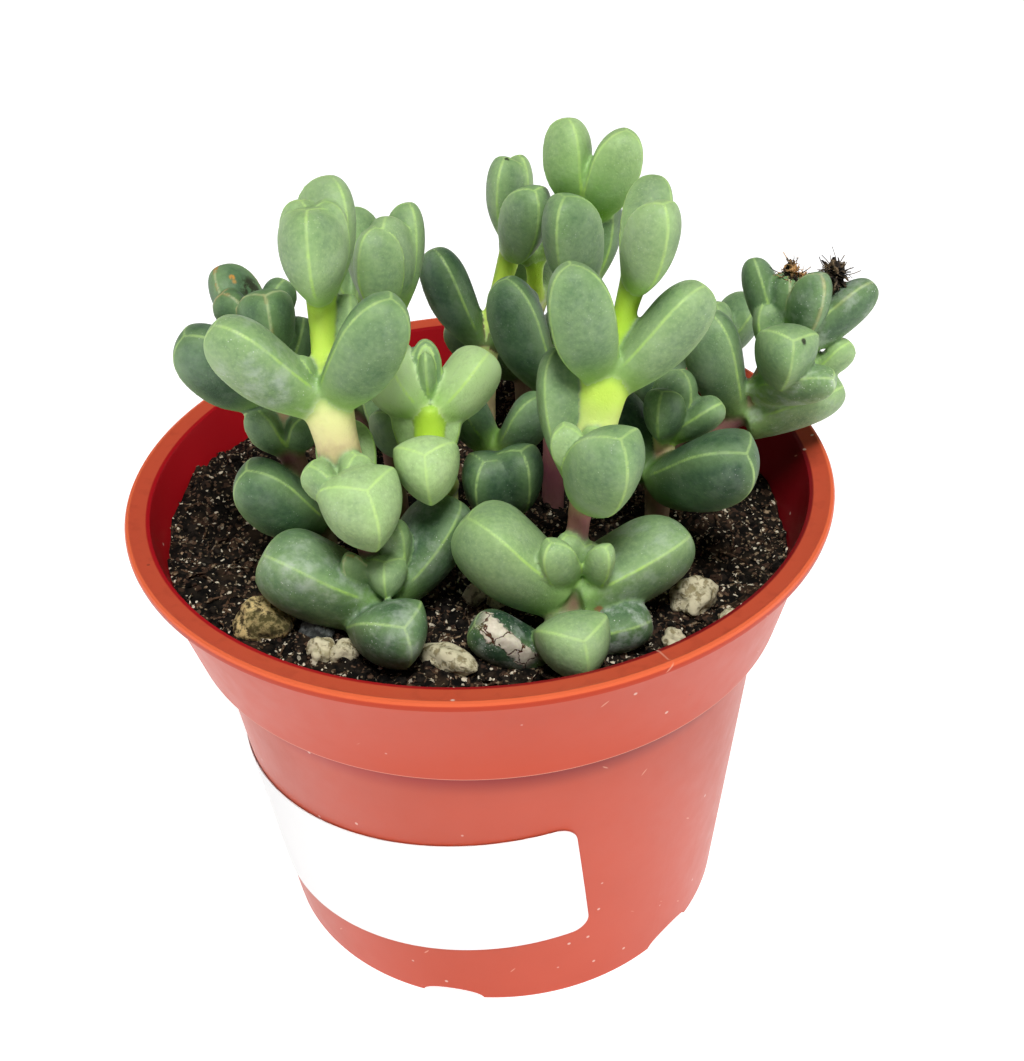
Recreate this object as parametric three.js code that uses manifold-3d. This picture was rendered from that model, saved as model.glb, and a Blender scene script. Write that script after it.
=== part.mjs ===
// A succulent ice plant in a moulded plastic nursery pot, in millimetres.
// The origin is the centre of the pot's base, where it stands, and +Z is up.
// The front is towards -Y: that side carries the paper label.
import * as THREE from "three";
import { mergeVertices } from "three/addons/utils/BufferGeometryUtils.js";
import Module from "manifold-3d";

const wasm = await Module();
wasm.setup();

// The air left between two pieces that touch.
const GAP = 0.3;

// Corners that can go without moving the surface further than this go: on the plant, and on the mix.
const TRIM = 0.09;
const SOIL_TRIM = 0.14;

// The pot: a tapered body, a wider skirt above a step, and a flat rim with a thin lip.
const POT = {
  height: 76,
  baseRadius: 36.9,
  bodyTopRadius: 43.1,
  stepHeight: 56.2,
  skirtBottomRadius: 45.9,
  skirtTopRadius: 50.5,
  lipRadius: 52.5,
  lipThickness: 1.5,
  mouthRadius: 48.75,
  wall: 1.1,
  floor: 3.2,
  channel: 2,
  footWidth: 2.4,
  padRadius: 13,
  padFloor: 1.2,
  sides: 40,
};

// Water runs out through round holes in the floor and through arches in the foot.
const DRAIN = { count: 6, holeRadius: 3.2, holeRing: 30, archWidth: 10, archHeight: 2.2, turn: 15 };

// The paper label is stuck round the body, a little askew.
const LABEL = {
  width: 66.7,
  height: 25.4,
  corner: 3,
  thickness: 0.6,
  centreAngle: -121.5,
  centreHeight: 24.8,
  askew: 6.5,
};

// The potting mix, filled to a little below the rim and sloping down to the right.
const SOIL = { level: 67.2, slope: -0.05, rings: 4, lump: 0.6 };

// A leaf has three edges: two margins beside its upper face, and a keel underneath.
const LEAF = {
  neck: 0.92, // width where a level leaf leaves the stem, as a share of its greatest width
  waist: 0.6, // how much narrower that is on an upright leaf
  fullAt: 0.58, // where along its length it is widest
  blunt: 2.3, // how squarely it closes at the tip
  keel: 0.84, // depth from the upper face to the keel, as a share of the width
  crown: 0.16, // how far the upper face swells
  flank: 0.17, // how far each lower face swells
  drop: 0.28, // how far the tip curves up from the keel, as a share of the width
  chin: 0.25, // how far the end of the keel juts out past the tip
  inward: 0.4, // how strongly the upper face turns to the stem as the leaf stands up
  follow: 0.35, // how far the upper face leans with the stem
  stations: [0, 0.28, 0.58, 0.82, 0.95],
  small: 13, // a shorter leaf is drawn with fewer faces
  smallStations: [0, 0.4, 0.72, 0.93],
};
const STEM_SIDES = 6;

const radians = THREE.MathUtils.degToRad;

// A mesh's triangles as a solid that can be joined and cut.
function solidFrom(geometry) {
  const bare = geometry.clone();
  bare.deleteAttribute("normal");
  bare.deleteAttribute("uv");
  const merged = mergeVertices(bare, 1e-4);
  const triVerts = new Uint32Array(merged.index.array);
  const vertProperties = new Float32Array(merged.attributes.position.array);
  return new wasm.Manifold(new wasm.Mesh({ numProp: 3, vertProperties, triVerts }));
}

// The largest of a solid's separate bodies.
function largestBody(solid) {
  return solid.decompose().reduce((best, body) => (body.volume() > best.volume() ? body : best));
}

// A solid's triangles as a geometry, without loose crumbs and needless corners.
function geometryFrom(solid, trim) {
  const mesh = largestBody(largestBody(solid).simplify(trim)).getMesh();
  const geometry = new THREE.BufferGeometry();
  geometry.setAttribute("position", new THREE.BufferAttribute(mesh.vertProperties, 3));
  geometry.setIndex(new THREE.BufferAttribute(mesh.triVerts, 1));
  return geometry.toNonIndexed();
}

// Rings of points joined into one closed skin, with a point at each end.
function loft(rings, first, last) {
  const sides = rings[0].length;
  const points = [first, ...rings.flat(), last];
  const index = [];
  for (let k = 0; k < sides; k++) {
    const next = (k + 1) % sides;
    index.push(0, 1 + next, 1 + k);
    for (let r = 0; r + 1 < rings.length; r++) {
      const low = 1 + r * sides;
      const high = low + sides;
      index.push(low + k, low + next, high + next, low + k, high + next, high + k);
    }
    const end = 1 + (rings.length - 1) * sides;
    index.push(end + k, end + next, points.length - 1);
  }
  const geometry = new THREE.BufferGeometry().setFromPoints(points);
  geometry.setIndex(index);
  return geometry;
}

// A leaf's section, one unit wide: right margin, crown, left margin, left flank, keel, right flank.
function leafSection(flankShares) {
  const margin = new THREE.Vector2(0.5, 0);
  const keel = new THREE.Vector2(0, -LEAF.keel);
  const outward = new THREE.Vector2(LEAF.keel, -0.5).normalize();
  const flank = flankShares.map((s) =>
    margin.clone().lerp(keel, s).addScaledVector(outward, LEAF.flank * 4 * s * (1 - s)),
  );
  const mirrored = flank.map((p) => new THREE.Vector2(-p.x, p.y));
  const left = new THREE.Vector2(-0.5, 0);
  return [margin, new THREE.Vector2(0, LEAF.crown), left, ...mirrored, keel, ...flank.reverse()];
}
const SECTION = leafSection([1 / 3, 2 / 3]);
const SMALL_SECTION = leafSection([1 / 2]);

// One leaf, growing from a point with a heading and a rise in degrees; extra thickens its skin.
function leafSolid(from, axis, { turn, rise, long, wide }, extra = 0) {
  const heading = new THREE.Vector3(Math.cos(radians(turn)), Math.sin(radians(turn)), 0);
  const along = heading.clone().multiplyScalar(Math.cos(radians(rise)));
  along.z = Math.sin(radians(rise));
  const up = axis.clone().addScaledVector(heading, -LEAF.inward);
  up.addScaledVector(along, -up.dot(along)).normalize();
  const side = new THREE.Vector3().crossVectors(up, along);
  const length = long + extra;
  const breadth = wide + 2 * extra;
  const centre = -LEAF.drop * breadth;
  const neck = LEAF.neck - (LEAF.waist * rise) / 90;
  const place = (t, x, y) => {
    const past = Math.max(0, (t - LEAF.fullAt) / (1 - LEAF.fullAt));
    const lift = extra - centre * t;
    return from
      .clone()
      .addScaledVector(along, t * length + LEAF.chin * past * (centre - y))
      .addScaledVector(side, x)
      .addScaledVector(up, y + lift);
  };
  const section = long < LEAF.small ? SMALL_SECTION : SECTION;
  const stations = long < LEAF.small ? LEAF.smallStations : LEAF.stations;
  const rings = stations.map((t) => {
    const grown = Math.sin((Math.min(t / LEAF.fullAt, 1) * Math.PI) / 2);
    const width = breadth * (neck + (1 - neck) * grown);
    const past = Math.max(0, (t - LEAF.fullAt) / (1 - LEAF.fullAt));
    const shut = (1 - past ** LEAF.blunt) ** (1 / LEAF.blunt);
    return section.map((p) => place(t, p.x * width * shut, centre + (p.y * width - centre) * shut));
  });
  const neckCentre = place(0, 0, -0.4 * neck * breadth);
  return solidFrom(loft(rings, neckCentre, place(1, 0, centre)));
}

// One length of stem between two joints, swelling where the leaves above clasp it.
function stemSolid(from, to, thick, extra = 0) {
  const along = to.clone().sub(from).normalize();
  const side = new THREE.Vector3(0, 1, 0).cross(along).normalize();
  const across = along.clone().cross(side);
  const rings = [
    [0, 0.9],
    [0.6, 0.92],
    [1, 1.12],
  ].map(([share, swell]) => {
    const centre = from.clone().lerp(to, share);
    const radius = (thick / 2) * swell + extra;
    return Array.from({ length: STEM_SIDES }, (_, k) => {
      const angle = (k / STEM_SIDES) * 2 * Math.PI;
      return centre
        .clone()
        .addScaledVector(side, radius * Math.cos(angle))
        .addScaledVector(across, radius * Math.sin(angle));
    });
  });
  const below = from.clone().addScaledVector(along, -0.2 - extra);
  return solidFrom(loft(rings, below, to.clone().addScaledVector(along, 0.2 + extra)));
}

// The words of the plant's table: a leaf, an opposite pair, a joint of the stem and a side bud.
const leaf = (turn, rise, long, wide) => ({ turn, rise, long, wide });
const pair = (turn, rise, long, wide) => [leaf(turn, rise, long, wide), leaf(turn + 180, rise, long, wide)];
const joint = (x, y, z, thick, ...leaves) => ({ point: new THREE.Vector3(x, y, z), thick, leaves });
const bud = (x, y, z, ...leaves) => ({ point: new THREE.Vector3(x, y, z), thick: 0, leaves });

// Each leafy stem from its root upward, with its side buds after the joints.
const SHOOTS = {
  shoot_front_left: [
    joint(-15.5, -26, 61, 4),
    joint(-16.5, -26.3, 69.7, 4, leaf(-67, 31, 17.2, 9.6)),
    joint(-14.4, -24.9, 74, 3.6, leaf(183, 26, 16.7, 12), leaf(31, 33, 16.1, 10)),
    joint(-17, -23.9, 87.6, 3.2, leaf(-70, 39, 11, 10.8), leaf(95, 45, 11.5, 8)),
    joint(-19, -21.1, 103, 6.3, leaf(195, 44, 17.1, 8.8), leaf(-27, 53, 18.6, 8.8)),
    joint(-18.3, -17.9, 115, 3.4, leaf(-90, 79, 12.5, 8.5), leaf(66, 67, 14.6, 7.6)),
    joint(-18.3, -17.5, 116.4, 3, leaf(170, 85, 11, 5.5), leaf(350, 80, 11, 5.5)),
    bud(-15.3, -25.4, 74.8, leaf(225, 62, 8.4, 3.4)),
    bud(-13, -26, 76, leaf(-95, 62, 5.5, 5.6), leaf(56, 72, 8.5, 4.9)),
    bud(-17.6, -26, 90.6, leaf(194, 52, 6.4, 4.9), leaf(5, 70, 5.9, 5)),
    bud(-19.6, -22, 105.2, leaf(185, 59, 4, 3)),
    bud(-19, -20, 104.6, leaf(45, 58, 11, 4.5)),
  ],
  shoot_centre_front: [
    joint(11, -31, 61, 4.5),
    joint(9.4, -31, 70.2, 4.5, leaf(-79, 29, 14.5, 9.6), leaf(-6, 4, 12.6, 8)),
    joint(11.4, -27.9, 75.2, 4.5, leaf(172, 37, 16.9, 12), leaf(16, 10, 17.8, 11.1)),
    joint(13.8, -24, 88, 3.4, leaf(-70, 50, 17, 9.7), leaf(109, 66, 18.5, 8.2)),
    joint(17.4, -20.1, 102.3, 6, leaf(213, 72, 18, 8.5), leaf(-5, 45, 17.2, 8)),
    joint(21.3, -16.9, 114.1, 3.3, leaf(-72, 58, 15.2, 6.8), leaf(67, 46, 13.9, 6.4)),
    bud(8.5, -31.4, 66.3, leaf(-168, 33, 12.8, 7.4)),
    bud(11.6, -29.2, 77, leaf(-131, 61, 9.2, 5), leaf(110, 75, 9.4, 4.7)),
    bud(14.2, -29, 76.4, leaf(-70, 61, 8.9, 4), leaf(86, 79, 7.8, 3.9)),
    bud(13.4, -26.4, 93, leaf(208, 68, 7, 4.8), leaf(15, 60, 5, 4.2)),
  ],
  shoot_left: [
    joint(-22, -16, 62, 4),
    joint(-22.4, -14.4, 79.4, 3.4, leaf(209, 49, 15, 9.2)),
    joint(-26, -12, 89.5, 3.4, leaf(187, 61, 7.7, 5), leaf(-5, 61, 5.5, 4.5)),
    joint(-27.2, -9, 98, 3.4, leaf(207, 44, 15.2, 9.3), leaf(40, 50, 10, 6)),
    joint(-27.2, -7, 103, 3, leaf(-77, 60, 11.4, 7.5), leaf(135, 47, 12.6, 6.9)),
    joint(-28.6, -7, 106, 2.6, leaf(194, 56, 6.5, 5), leaf(10, 52, 7.5, 5)),
  ],
  shoot_centre_left: [
    joint(-12, 0, 62, 3),
    joint(-12.5, -2, 84, 3, ...pair(-80, 50, 10, 6.5)),
    joint(-10.6, -1.6, 102, 2.8, leaf(136, 71, 17, 6.2)),
    joint(-10, -1.9, 104.4, 3, leaf(-90, 88, 14, 6.6), leaf(50, 72, 14.8, 5.8)),
    bud(-11, -4.1, 105.4, leaf(-130, 87, 12.4, 6.8)),
  ],
  shoot_middle: [
    joint(-5, -10, 62, 4),
    joint(-5, -9.5, 80, 3.6),
    joint(-6.6, -18, 88.9, 5, leaf(-91, 39, 11.1, 8.7), leaf(89, 56, 11, 9.5)),
    joint(-6, -14.9, 96.2, 5.3, leaf(161, 51, 10.8, 8.7), leaf(19, 34, 10.8, 8)),
    joint(-5.9, -14.8, 97, 3, leaf(-90, 84, 8, 2.3), leaf(90, 84, 8, 2.3), leaf(92, 76, 10, 5)),
  ],
  shoot_right_rear: [
    joint(11, 4, 62, 4),
    joint(12.4, 6, 86.4, 4, leaf(185, 70, 19.4, 8.5), leaf(-13, 55, 14, 7)),
    joint(16.9, 8, 101.8, 3.6, leaf(-113, 66, 17.8, 8.5), leaf(49, 70, 14, 8)),
    joint(17.5, 9, 112.4, 3.2, leaf(163, 81, 13.6, 7.1), leaf(-32, 63, 14.3, 7.2)),
  ],
  shoot_rear: [
    joint(1, 17, 62, 4),
    joint(2.4, 18, 88.3, 3.6, leaf(173, 66, 17, 7.5), leaf(5, 50, 11, 6.5)),
    joint(7.3, 19, 103.5, 3.3, leaf(-70, 52, 15.4, 7.3), leaf(119, 86, 13.5, 6.2)),
    joint(7.5, 19.5, 105.3, 3, leaf(60, 75, 11.5, 5)),
  ],
  shoot_right: [
    joint(30, 2, 61, 3.4),
    joint(33, 1, 76, 3.4),
    joint(39.6, 0, 83.8, 3.4, leaf(177, 71, 16.9, 8.5), leaf(-2, 12, 14.9, 8)),
    joint(44.2, 0, 92.6, 3.4, leaf(-92, 36, 13, 8.6), leaf(99, 60, 8, 6)),
    joint(45.9, 2, 93.6, 3.4, leaf(131, 58, 13, 5.4), leaf(-1, 36, 14.6, 6.2)),
    joint(46.9, 2.2, 94.8, 3, leaf(-66, 66, 12.2, 5.8), leaf(130, 80, 9, 5.8)),
    bud(41, -0.4, 88.6, leaf(-50, 22, 14.6, 5.7)),
    bud(50.4, 2, 89, leaf(153, 70, 5, 4), leaf(-19, 44, 6.4, 4.4)),
  ],
  shoot_right_low: [
    joint(25, -10, 60, 4),
    joint(25.7, -11.5, 81.8, 4, leaf(-53, 31, 18.6, 10.7), leaf(140, 40, 14, 9)),
    joint(26.7, -10, 86.8, 3, leaf(-110, 70, 8.7, 5.8), leaf(52, 65, 9, 6.4)),
    joint(26.7, -10, 87.4, 3, leaf(-11, 30, 8.8, 5)),
  ],
  shoot_right_back: [
    joint(32, 20, 60, 4),
    joint(34, 20, 76, 3.6, leaf(100, 35, 13, 9), leaf(-150, 40, 11, 8)),
    joint(37, 18.5, 84, 3.4, leaf(-75, 72, 10, 6.5), leaf(20, 40, 11.5, 7.5)),
    joint(36.5, 19, 86, 3, leaf(140, 70, 9, 6.5)),
  ],
  shoot_middle_back: [
    joint(8, 30, 60, 4),
    joint(9, 31, 78, 3.8, ...pair(10, 38, 15, 9)),
    joint(11, 29, 89, 3.4, leaf(100, 45, 15, 8.5)),
    joint(11, 28, 97, 3, leaf(20, 70, 10, 6), leaf(200, 70, 10, 6)),
  ],
  shoot_left_back: [
    joint(-18, 20, 60, 4),
    joint(-18, 21, 78, 3.8, ...pair(-20, 35, 15, 9)),
    joint(-17, 19, 90, 3.4, leaf(80, 45, 14, 8)),
    joint(-17, 19, 95, 3, leaf(-10, 66, 11, 6.5), leaf(170, 66, 11, 6.5)),
  ],
  shoot_centre_low: [
    joint(4, -8, 62, 3.4),
    joint(4, -7, 75.5, 3.4, leaf(-70, 62, 13, 8), leaf(-118, 56, 12.5, 9)),
    joint(3, -3, 82, 3, leaf(-12, 53, 11, 6.5), leaf(150, 50, 10, 6.5)),
  ],
};

// The stones lying in the mix: where each lies, its three half-sizes, and its turn.
const STONES = {
  stone_brown: [-31.4, -22.4, 68.6, 3.4, 3.1, 2.8, 20],
  perlite_left_rear: [-29.5, -3, 69.6, 1.6, 1.4, 1.3, 60],
  perlite_left: [-22.8, -31.9, 68.6, 1.35, 1.5, 1.4, 10],
  perlite_left_twin: [-19.6, -32.4, 68.6, 1.3, 1.6, 1.5, 80],
  perlite_front: [-5.3, -34.9, 67.9, 3.6, 2.2, 1.9, -12],
  perlite_right: [29, -23.2, 66.9, 3.1, 2.7, 2.6, 35],
  perlite_right_small: [25.1, -31, 66.3, 1.4, 1.3, 1.2, 0],
  perlite_right_chip: [33.5, -27, 65.9, 1.4, 1.2, 1.2, 50],
};
const STONE_DENT = 0.14; // how far a stone's face strays from an even curve, as a share of its size

// The withered flower heads on the right shoot.
const BLOOMS = {
  bloom_right: { from: [51, 3, 98], head: [52.4, 3.5, 104.2], size: 2.3 },
  bloom_middle: { from: [46, 4.2, 102], head: [46.3, 4.4, 104.6], size: 1.5 },
};
const BLOOM_STALK = 1.4;

const object = new THREE.Group();

function add(name, solid, [r, g, b], roughness, trim = TRIM) {
  const color = new THREE.Color().setRGB(r, g, b, THREE.SRGBColorSpace);
  const material = new THREE.MeshStandardMaterial({ color, roughness, metalness: 0 });
  const mesh = new THREE.Mesh(geometryFrom(solid, trim), material);
  mesh.name = name;
  object.add(mesh);
}

// A solid turned about the pot's axis, from a profile of radius and height that starts and ends on it.
function revolve(profile) {
  const points = profile.map(([radius, z]) => new THREE.Vector2(radius, z));
  return solidFrom(new THREE.LatheGeometry(points, POT.sides).rotateX(Math.PI / 2));
}

// The outside of the tapered body at a height.
const bodyRadius = (z) =>
  POT.baseRadius + ((POT.bodyTopRadius - POT.baseRadius) * z) / POT.stepHeight;

// The inside of the skirt at a height.
const LEDGE = POT.stepHeight + POT.wall;
const innerLedgeRadius = POT.skirtBottomRadius - POT.wall;
const skirtInside = (z) =>
  innerLedgeRadius + ((POT.mouthRadius - innerLedgeRadius) * (z - LEDGE)) / (POT.height - LEDGE);

function potSolid() {
  const footInside = POT.baseRadius - POT.footWidth;
  const shell = revolve([
    [0, 0],
    [POT.padRadius, 0],
    [POT.padRadius + 1, POT.channel],
    [footInside - 1, POT.channel],
    [footInside, 0],
    [POT.baseRadius, 0],
    [POT.bodyTopRadius, POT.stepHeight],
    [POT.skirtBottomRadius, POT.stepHeight + 0.6],
    [POT.skirtTopRadius, POT.height - POT.lipThickness - 0.4],
    [POT.lipRadius, POT.height - POT.lipThickness],
    [POT.lipRadius, POT.height - 0.4],
    [POT.lipRadius - 0.4, POT.height],
    [POT.mouthRadius, POT.height],
    [innerLedgeRadius, LEDGE],
    [POT.bodyTopRadius - POT.wall, POT.stepHeight - 0.4],
    [bodyRadius(POT.floor) - POT.wall, POT.floor],
    [POT.padRadius, POT.floor],
    [POT.padRadius - 1, POT.padFloor],
    [0, POT.padFloor],
  ]);
  const cuts = [];
  for (let k = 0; k < DRAIN.count; k++) {
    const angle = DRAIN.turn + (360 * k) / DRAIN.count;
    const hole = new THREE.CylinderGeometry(DRAIN.holeRadius, DRAIN.holeRadius, 4 * POT.floor, 8);
    hole.rotateX(Math.PI / 2).translate(DRAIN.holeRing, 0, 0).rotateZ(radians(angle));
    const arch = new THREE.CylinderGeometry(DRAIN.archWidth / 2, DRAIN.archWidth / 2, 8, 8);
    arch.rotateZ(Math.PI / 2).scale(1, 1, (2 * DRAIN.archHeight) / DRAIN.archWidth);
    arch.translate(POT.baseRadius, 0, 0).rotateZ(radians(angle));
    cuts.push(solidFrom(hole), solidFrom(arch));
  }
  return cuts.reduce((whole, cut) => whole.subtract(cut), shell);
}

// A thin sheet wrapped round the body, built column by column from one end to the other.
function labelSolid() {
  const reach = LABEL.width / 2;
  const round = [0, 0.12, 0.5, 1].map((s) => reach - LABEL.corner * s);
  const plain = Array.from({ length: 11 }, (_, k) => (reach - LABEL.corner) * (1 - (k + 1) / 6));
  const columns = [...round, ...plain, ...round.map((u) => -u).reverse()];
  const lean = radians(LABEL.askew);
  const place = (u, v, lift) => {
    const height = LABEL.centreHeight + u * Math.sin(lean) + v * Math.cos(lean);
    const radius = bodyRadius(height) + GAP + lift;
    const across = u * Math.cos(lean) - v * Math.sin(lean);
    const angle = radians(LABEL.centreAngle) + across / bodyRadius(LABEL.centreHeight);
    return new THREE.Vector3(radius * Math.cos(angle), radius * Math.sin(angle), height);
  };
  const rings = columns.map((u) => {
    const inCorner = Math.max(0, Math.abs(u) - (reach - LABEL.corner));
    const trim = LABEL.corner - Math.sqrt(LABEL.corner ** 2 - inCorner ** 2);
    const half = LABEL.height / 2 - trim;
    return [
      place(u, -half, 0),
      place(u, -half, LABEL.thickness),
      place(u, half, LABEL.thickness),
      place(u, half, 0),
    ];
  });
  const middle = LABEL.thickness / 2;
  return solidFrom(loft(rings, place(reach, 0, middle), place(-reach, 0, middle)));
}

// The mix's surface: a gentle slope with low lumps.
function soilHeight(x, y) {
  const lumps = Math.sin(x / 5 + 1) * Math.cos(y / 4.2) + 0.6 * Math.sin(x / 2.9 - y / 3.7);
  return SOIL.level + SOIL.slope * x + SOIL.lump * lumps;
}

function soilSolid(cuts) {
  const inside = bodyRadius(POT.floor) - POT.wall - GAP;
  const wallRing = (z) => [skirtInside(z) - GAP, z];
  const top = new THREE.Vector3(0, 0, soilHeight(0, 0));
  const sides = [
    [POT.padRadius - 1 - GAP, POT.padFloor + GAP],
    [POT.padRadius, POT.floor + GAP],
    [inside, POT.floor + GAP],
    [POT.bodyTopRadius - POT.wall - GAP, POT.stepHeight - 0.4 + GAP],
    wallRing(LEDGE + GAP),
  ];
  const rings = [];
  const angles = Array.from({ length: POT.sides }, (_, k) => (k / POT.sides) * 2 * Math.PI);
  for (const [radius, z] of sides) {
    rings.push(angles.map((a) => new THREE.Vector3(radius * Math.cos(a), radius * Math.sin(a), z)));
  }
  for (let k = SOIL.rings; k > 0; k--) {
    rings.push(
      angles.map((a) => {
        const radius = ((skirtInside(SOIL.level) - GAP) * k) / SOIL.rings;
        const z = soilHeight(radius * Math.cos(a), radius * Math.sin(a));
        const reach = k === SOIL.rings ? wallRing(z)[0] : radius;
        return new THREE.Vector3(reach * Math.cos(a), reach * Math.sin(a), z);
      }),
    );
  }
  const whole = solidFrom(loft(rings, new THREE.Vector3(0, 0, POT.padFloor + GAP), top));
  return cuts.reduce((rest, cut) => rest.subtract(cut), whole);
}

// A rough lump: a round one whose corners are moved in and out by a fixed wave.
function lumpSolid([x, y, z], [a, b, c], turn, dent, extra = 0) {
  const facets = new THREE.IcosahedronGeometry(1, 1);
  const ball = mergeVertices(facets.deleteAttribute("normal").deleteAttribute("uv"));
  const spots = ball.attributes.position;
  for (let k = 0; k < spots.count; k++) {
    const spot = new THREE.Vector3().fromBufferAttribute(spots, k);
    const wave = Math.sin(spot.x * 4 + x) * Math.cos(spot.y * 5 + y) + Math.sin(spot.z * 6 + x + y);
    const reach = (half) => half * (1 + dent * wave) + extra;
    spots.setXYZ(k, spot.x * reach(a), spot.y * reach(b), spot.z * reach(c));
  }
  return solidFrom(ball.rotateZ(radians(turn)).translate(x, y, z));
}

const stoneSolid = ([x, y, z, a, b, c, turn], extra) =>
  lumpSolid([x, y, z], [a, b, c], turn, STONE_DENT, extra);

function bloomSolid({ from, head, size }) {
  const stalk = stemSolid(new THREE.Vector3(...from), new THREE.Vector3(...head), BLOOM_STALK);
  return stalk.add(lumpSolid(head, [size, size, size * 0.8], 0, 0.25));
}

function shootSolid(joints, extra = 0) {
  const pieces = [];
  joints.forEach(({ point, thick, leaves }, k) => {
    const axis = new THREE.Vector3(0, 0, 1);
    if (thick > 0 && k > 0) {
      const reach = point.clone().sub(joints[k - 1].point).normalize();
      axis.addScaledVector(reach, LEAF.follow).normalize();
      pieces.push(stemSolid(joints[k - 1].point, point, thick, extra));
    }
    for (const each of leaves) pieces.push(leafSolid(point, axis, each, extra));
  });
  return pieces.reduce((whole, piece) => whole.add(piece));
}

const shoots = Object.entries(SHOOTS).map(([name, joints]) => [name, shootSolid(joints)]);
const spread = Object.values(SHOOTS).map((joints) => shootSolid(joints, GAP));
const stonesSpread = Object.values(STONES).map((stone) => stoneSolid(stone, GAP));

add("pot", potSolid(), [0.82, 0.38, 0.27], 0.45);
add("label", labelSolid(), [0.94, 0.94, 0.93], 0.6);
add("soil", soilSolid([...spread, ...stonesSpread]), [0.17, 0.13, 0.11], 0.95, SOIL_TRIM);
for (const [name, stone] of Object.entries(STONES)) {
  const colour = name === "stone_brown" ? [0.62, 0.56, 0.36] : [0.85, 0.84, 0.8];
  add(name, stoneSolid(stone), colour, 0.9);
}
for (const [name, shoot] of shoots) add(name, shoot, [0.47, 0.58, 0.45], 0.5);
for (const [name, bloom] of Object.entries(BLOOMS)) {
  const clear = spread.reduce((rest, cut) => rest.subtract(cut), bloomSolid(bloom));
  add(name, clear, [0.27, 0.2, 0.14], 0.9);
}

export default object;
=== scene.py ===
"""The looks of a potted ice plant: fat three-edged leaves, a plastic pot, a paper label and loose mix."""

import math
import random

import bpy
import numpy as np
from mathutils import Matrix, Vector, noise


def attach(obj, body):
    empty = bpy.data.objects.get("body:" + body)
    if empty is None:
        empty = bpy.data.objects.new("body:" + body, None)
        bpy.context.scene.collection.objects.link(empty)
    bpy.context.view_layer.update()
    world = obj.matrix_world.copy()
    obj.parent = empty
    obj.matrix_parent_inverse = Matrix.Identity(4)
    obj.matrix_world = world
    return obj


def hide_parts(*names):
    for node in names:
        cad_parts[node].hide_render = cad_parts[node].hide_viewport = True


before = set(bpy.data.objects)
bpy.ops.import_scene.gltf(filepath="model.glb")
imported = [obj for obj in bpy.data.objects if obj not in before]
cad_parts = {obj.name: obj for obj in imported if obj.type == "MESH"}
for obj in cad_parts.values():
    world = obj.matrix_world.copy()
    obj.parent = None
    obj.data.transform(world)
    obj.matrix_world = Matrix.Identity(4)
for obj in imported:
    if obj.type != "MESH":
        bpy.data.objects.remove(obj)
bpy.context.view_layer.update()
MM = 0.001

# Camera, floor and lights

CAMERA_AT = (0, -188.5, 195.96)  # mm
CAMERA_AIM = (0.0197, 0.8205, -0.5712)
CAMERA_ROLL = math.radians(-3.04)
SENSOR_WIDTH, LENS, CLIP_START = 36, 50.41, 0.01

# Each lamp's place and size in metres, and its power in watts.
LAMPS = {
    "key_front": ((0.05, -0.45, 0.95), 0.3, 9.3),
    "fill_right": ((0.75, -0.05, 0.25), 0.4, 1.0),
    "fill_left": ((-0.75, -0.05, 0.25), 0.4, 0.8),
}
LAMPS_AIM_AT = Vector((0, 0, 0.08))
AMBIENT = 0.07
FLOOR_GLOW, FLOOR_SIZE = 0.97, 20


def set_camera():
    data = bpy.data.cameras.new("camera")
    camera = bpy.data.objects.new("camera", data)
    bpy.context.scene.collection.objects.link(camera)
    aim = Vector(CAMERA_AIM).normalized()
    level = aim.cross(Vector((0, 0, 1))).normalized()
    right = level * math.cos(CAMERA_ROLL) + level.cross(aim) * math.sin(CAMERA_ROLL)
    turn = Matrix((right, right.cross(aim), -aim)).transposed()
    camera.matrix_world = Matrix.Translation(Vector(CAMERA_AT) * MM) @ turn.to_4x4()
    data.sensor_width = SENSOR_WIDTH
    data.lens = LENS
    data.clip_start = CLIP_START
    bpy.context.scene.camera = camera


def add_lamp(name, place, size, power):
    data = bpy.data.lights.new(name, "AREA")
    data.shape = "DISK"
    data.size = size
    data.energy = power
    lamp = bpy.data.objects.new(name, data)
    bpy.context.scene.collection.objects.link(lamp)
    turn = (LAMPS_AIM_AT - Vector(place)).to_track_quat("-Z", "Y").to_matrix().to_4x4()
    lamp.matrix_world = Matrix.Translation(Vector(place)) @ turn


class Field:
    """One socket of a node tree; arithmetic on it adds Math nodes."""

    def __init__(self, tree, socket):
        self.tree = tree
        self.socket = socket

    def other(self, name):
        return Field(self.tree, self.socket.node.outputs[name])

    def math(self, operation, *values, **settings):
        inputs = dict(enumerate(values))
        return self.tree.make("ShaderNodeMath", {"operation": operation, **settings}, inputs)

    def __add__(self, value):
        return self.math("ADD", self, value)

    __radd__ = __add__

    def __sub__(self, value):
        return self.math("SUBTRACT", self, value)

    def __rsub__(self, value):
        return self.math("SUBTRACT", value, self)

    def __mul__(self, value):
        return self.math("MULTIPLY", self, value)

    __rmul__ = __mul__

    def __truediv__(self, value):
        return self.math("DIVIDE", self, value)

    def __neg__(self):
        return self.math("MULTIPLY", self, -1.0)

    def step(self, low, high):
        """0 below low and 1 above high, smooth between them; the other way round if low is the greater."""
        inputs = {"Value": self, "From Min": low, "From Max": high}
        return self.tree.make("ShaderNodeMapRange", {"interpolation_type": "SMOOTHSTEP"}, inputs)

    def clamp(self):
        return self.math("ADD", self, 0.0, use_clamp=True)

    def power(self, value):
        return self.math("POWER", self, value)

    def lesser(self, value):
        return self.math("MINIMUM", self, value)

    def greater(self, value):
        return self.math("MAXIMUM", self, value)

    def absolute(self):
        return self.math("ABSOLUTE", self)


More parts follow.
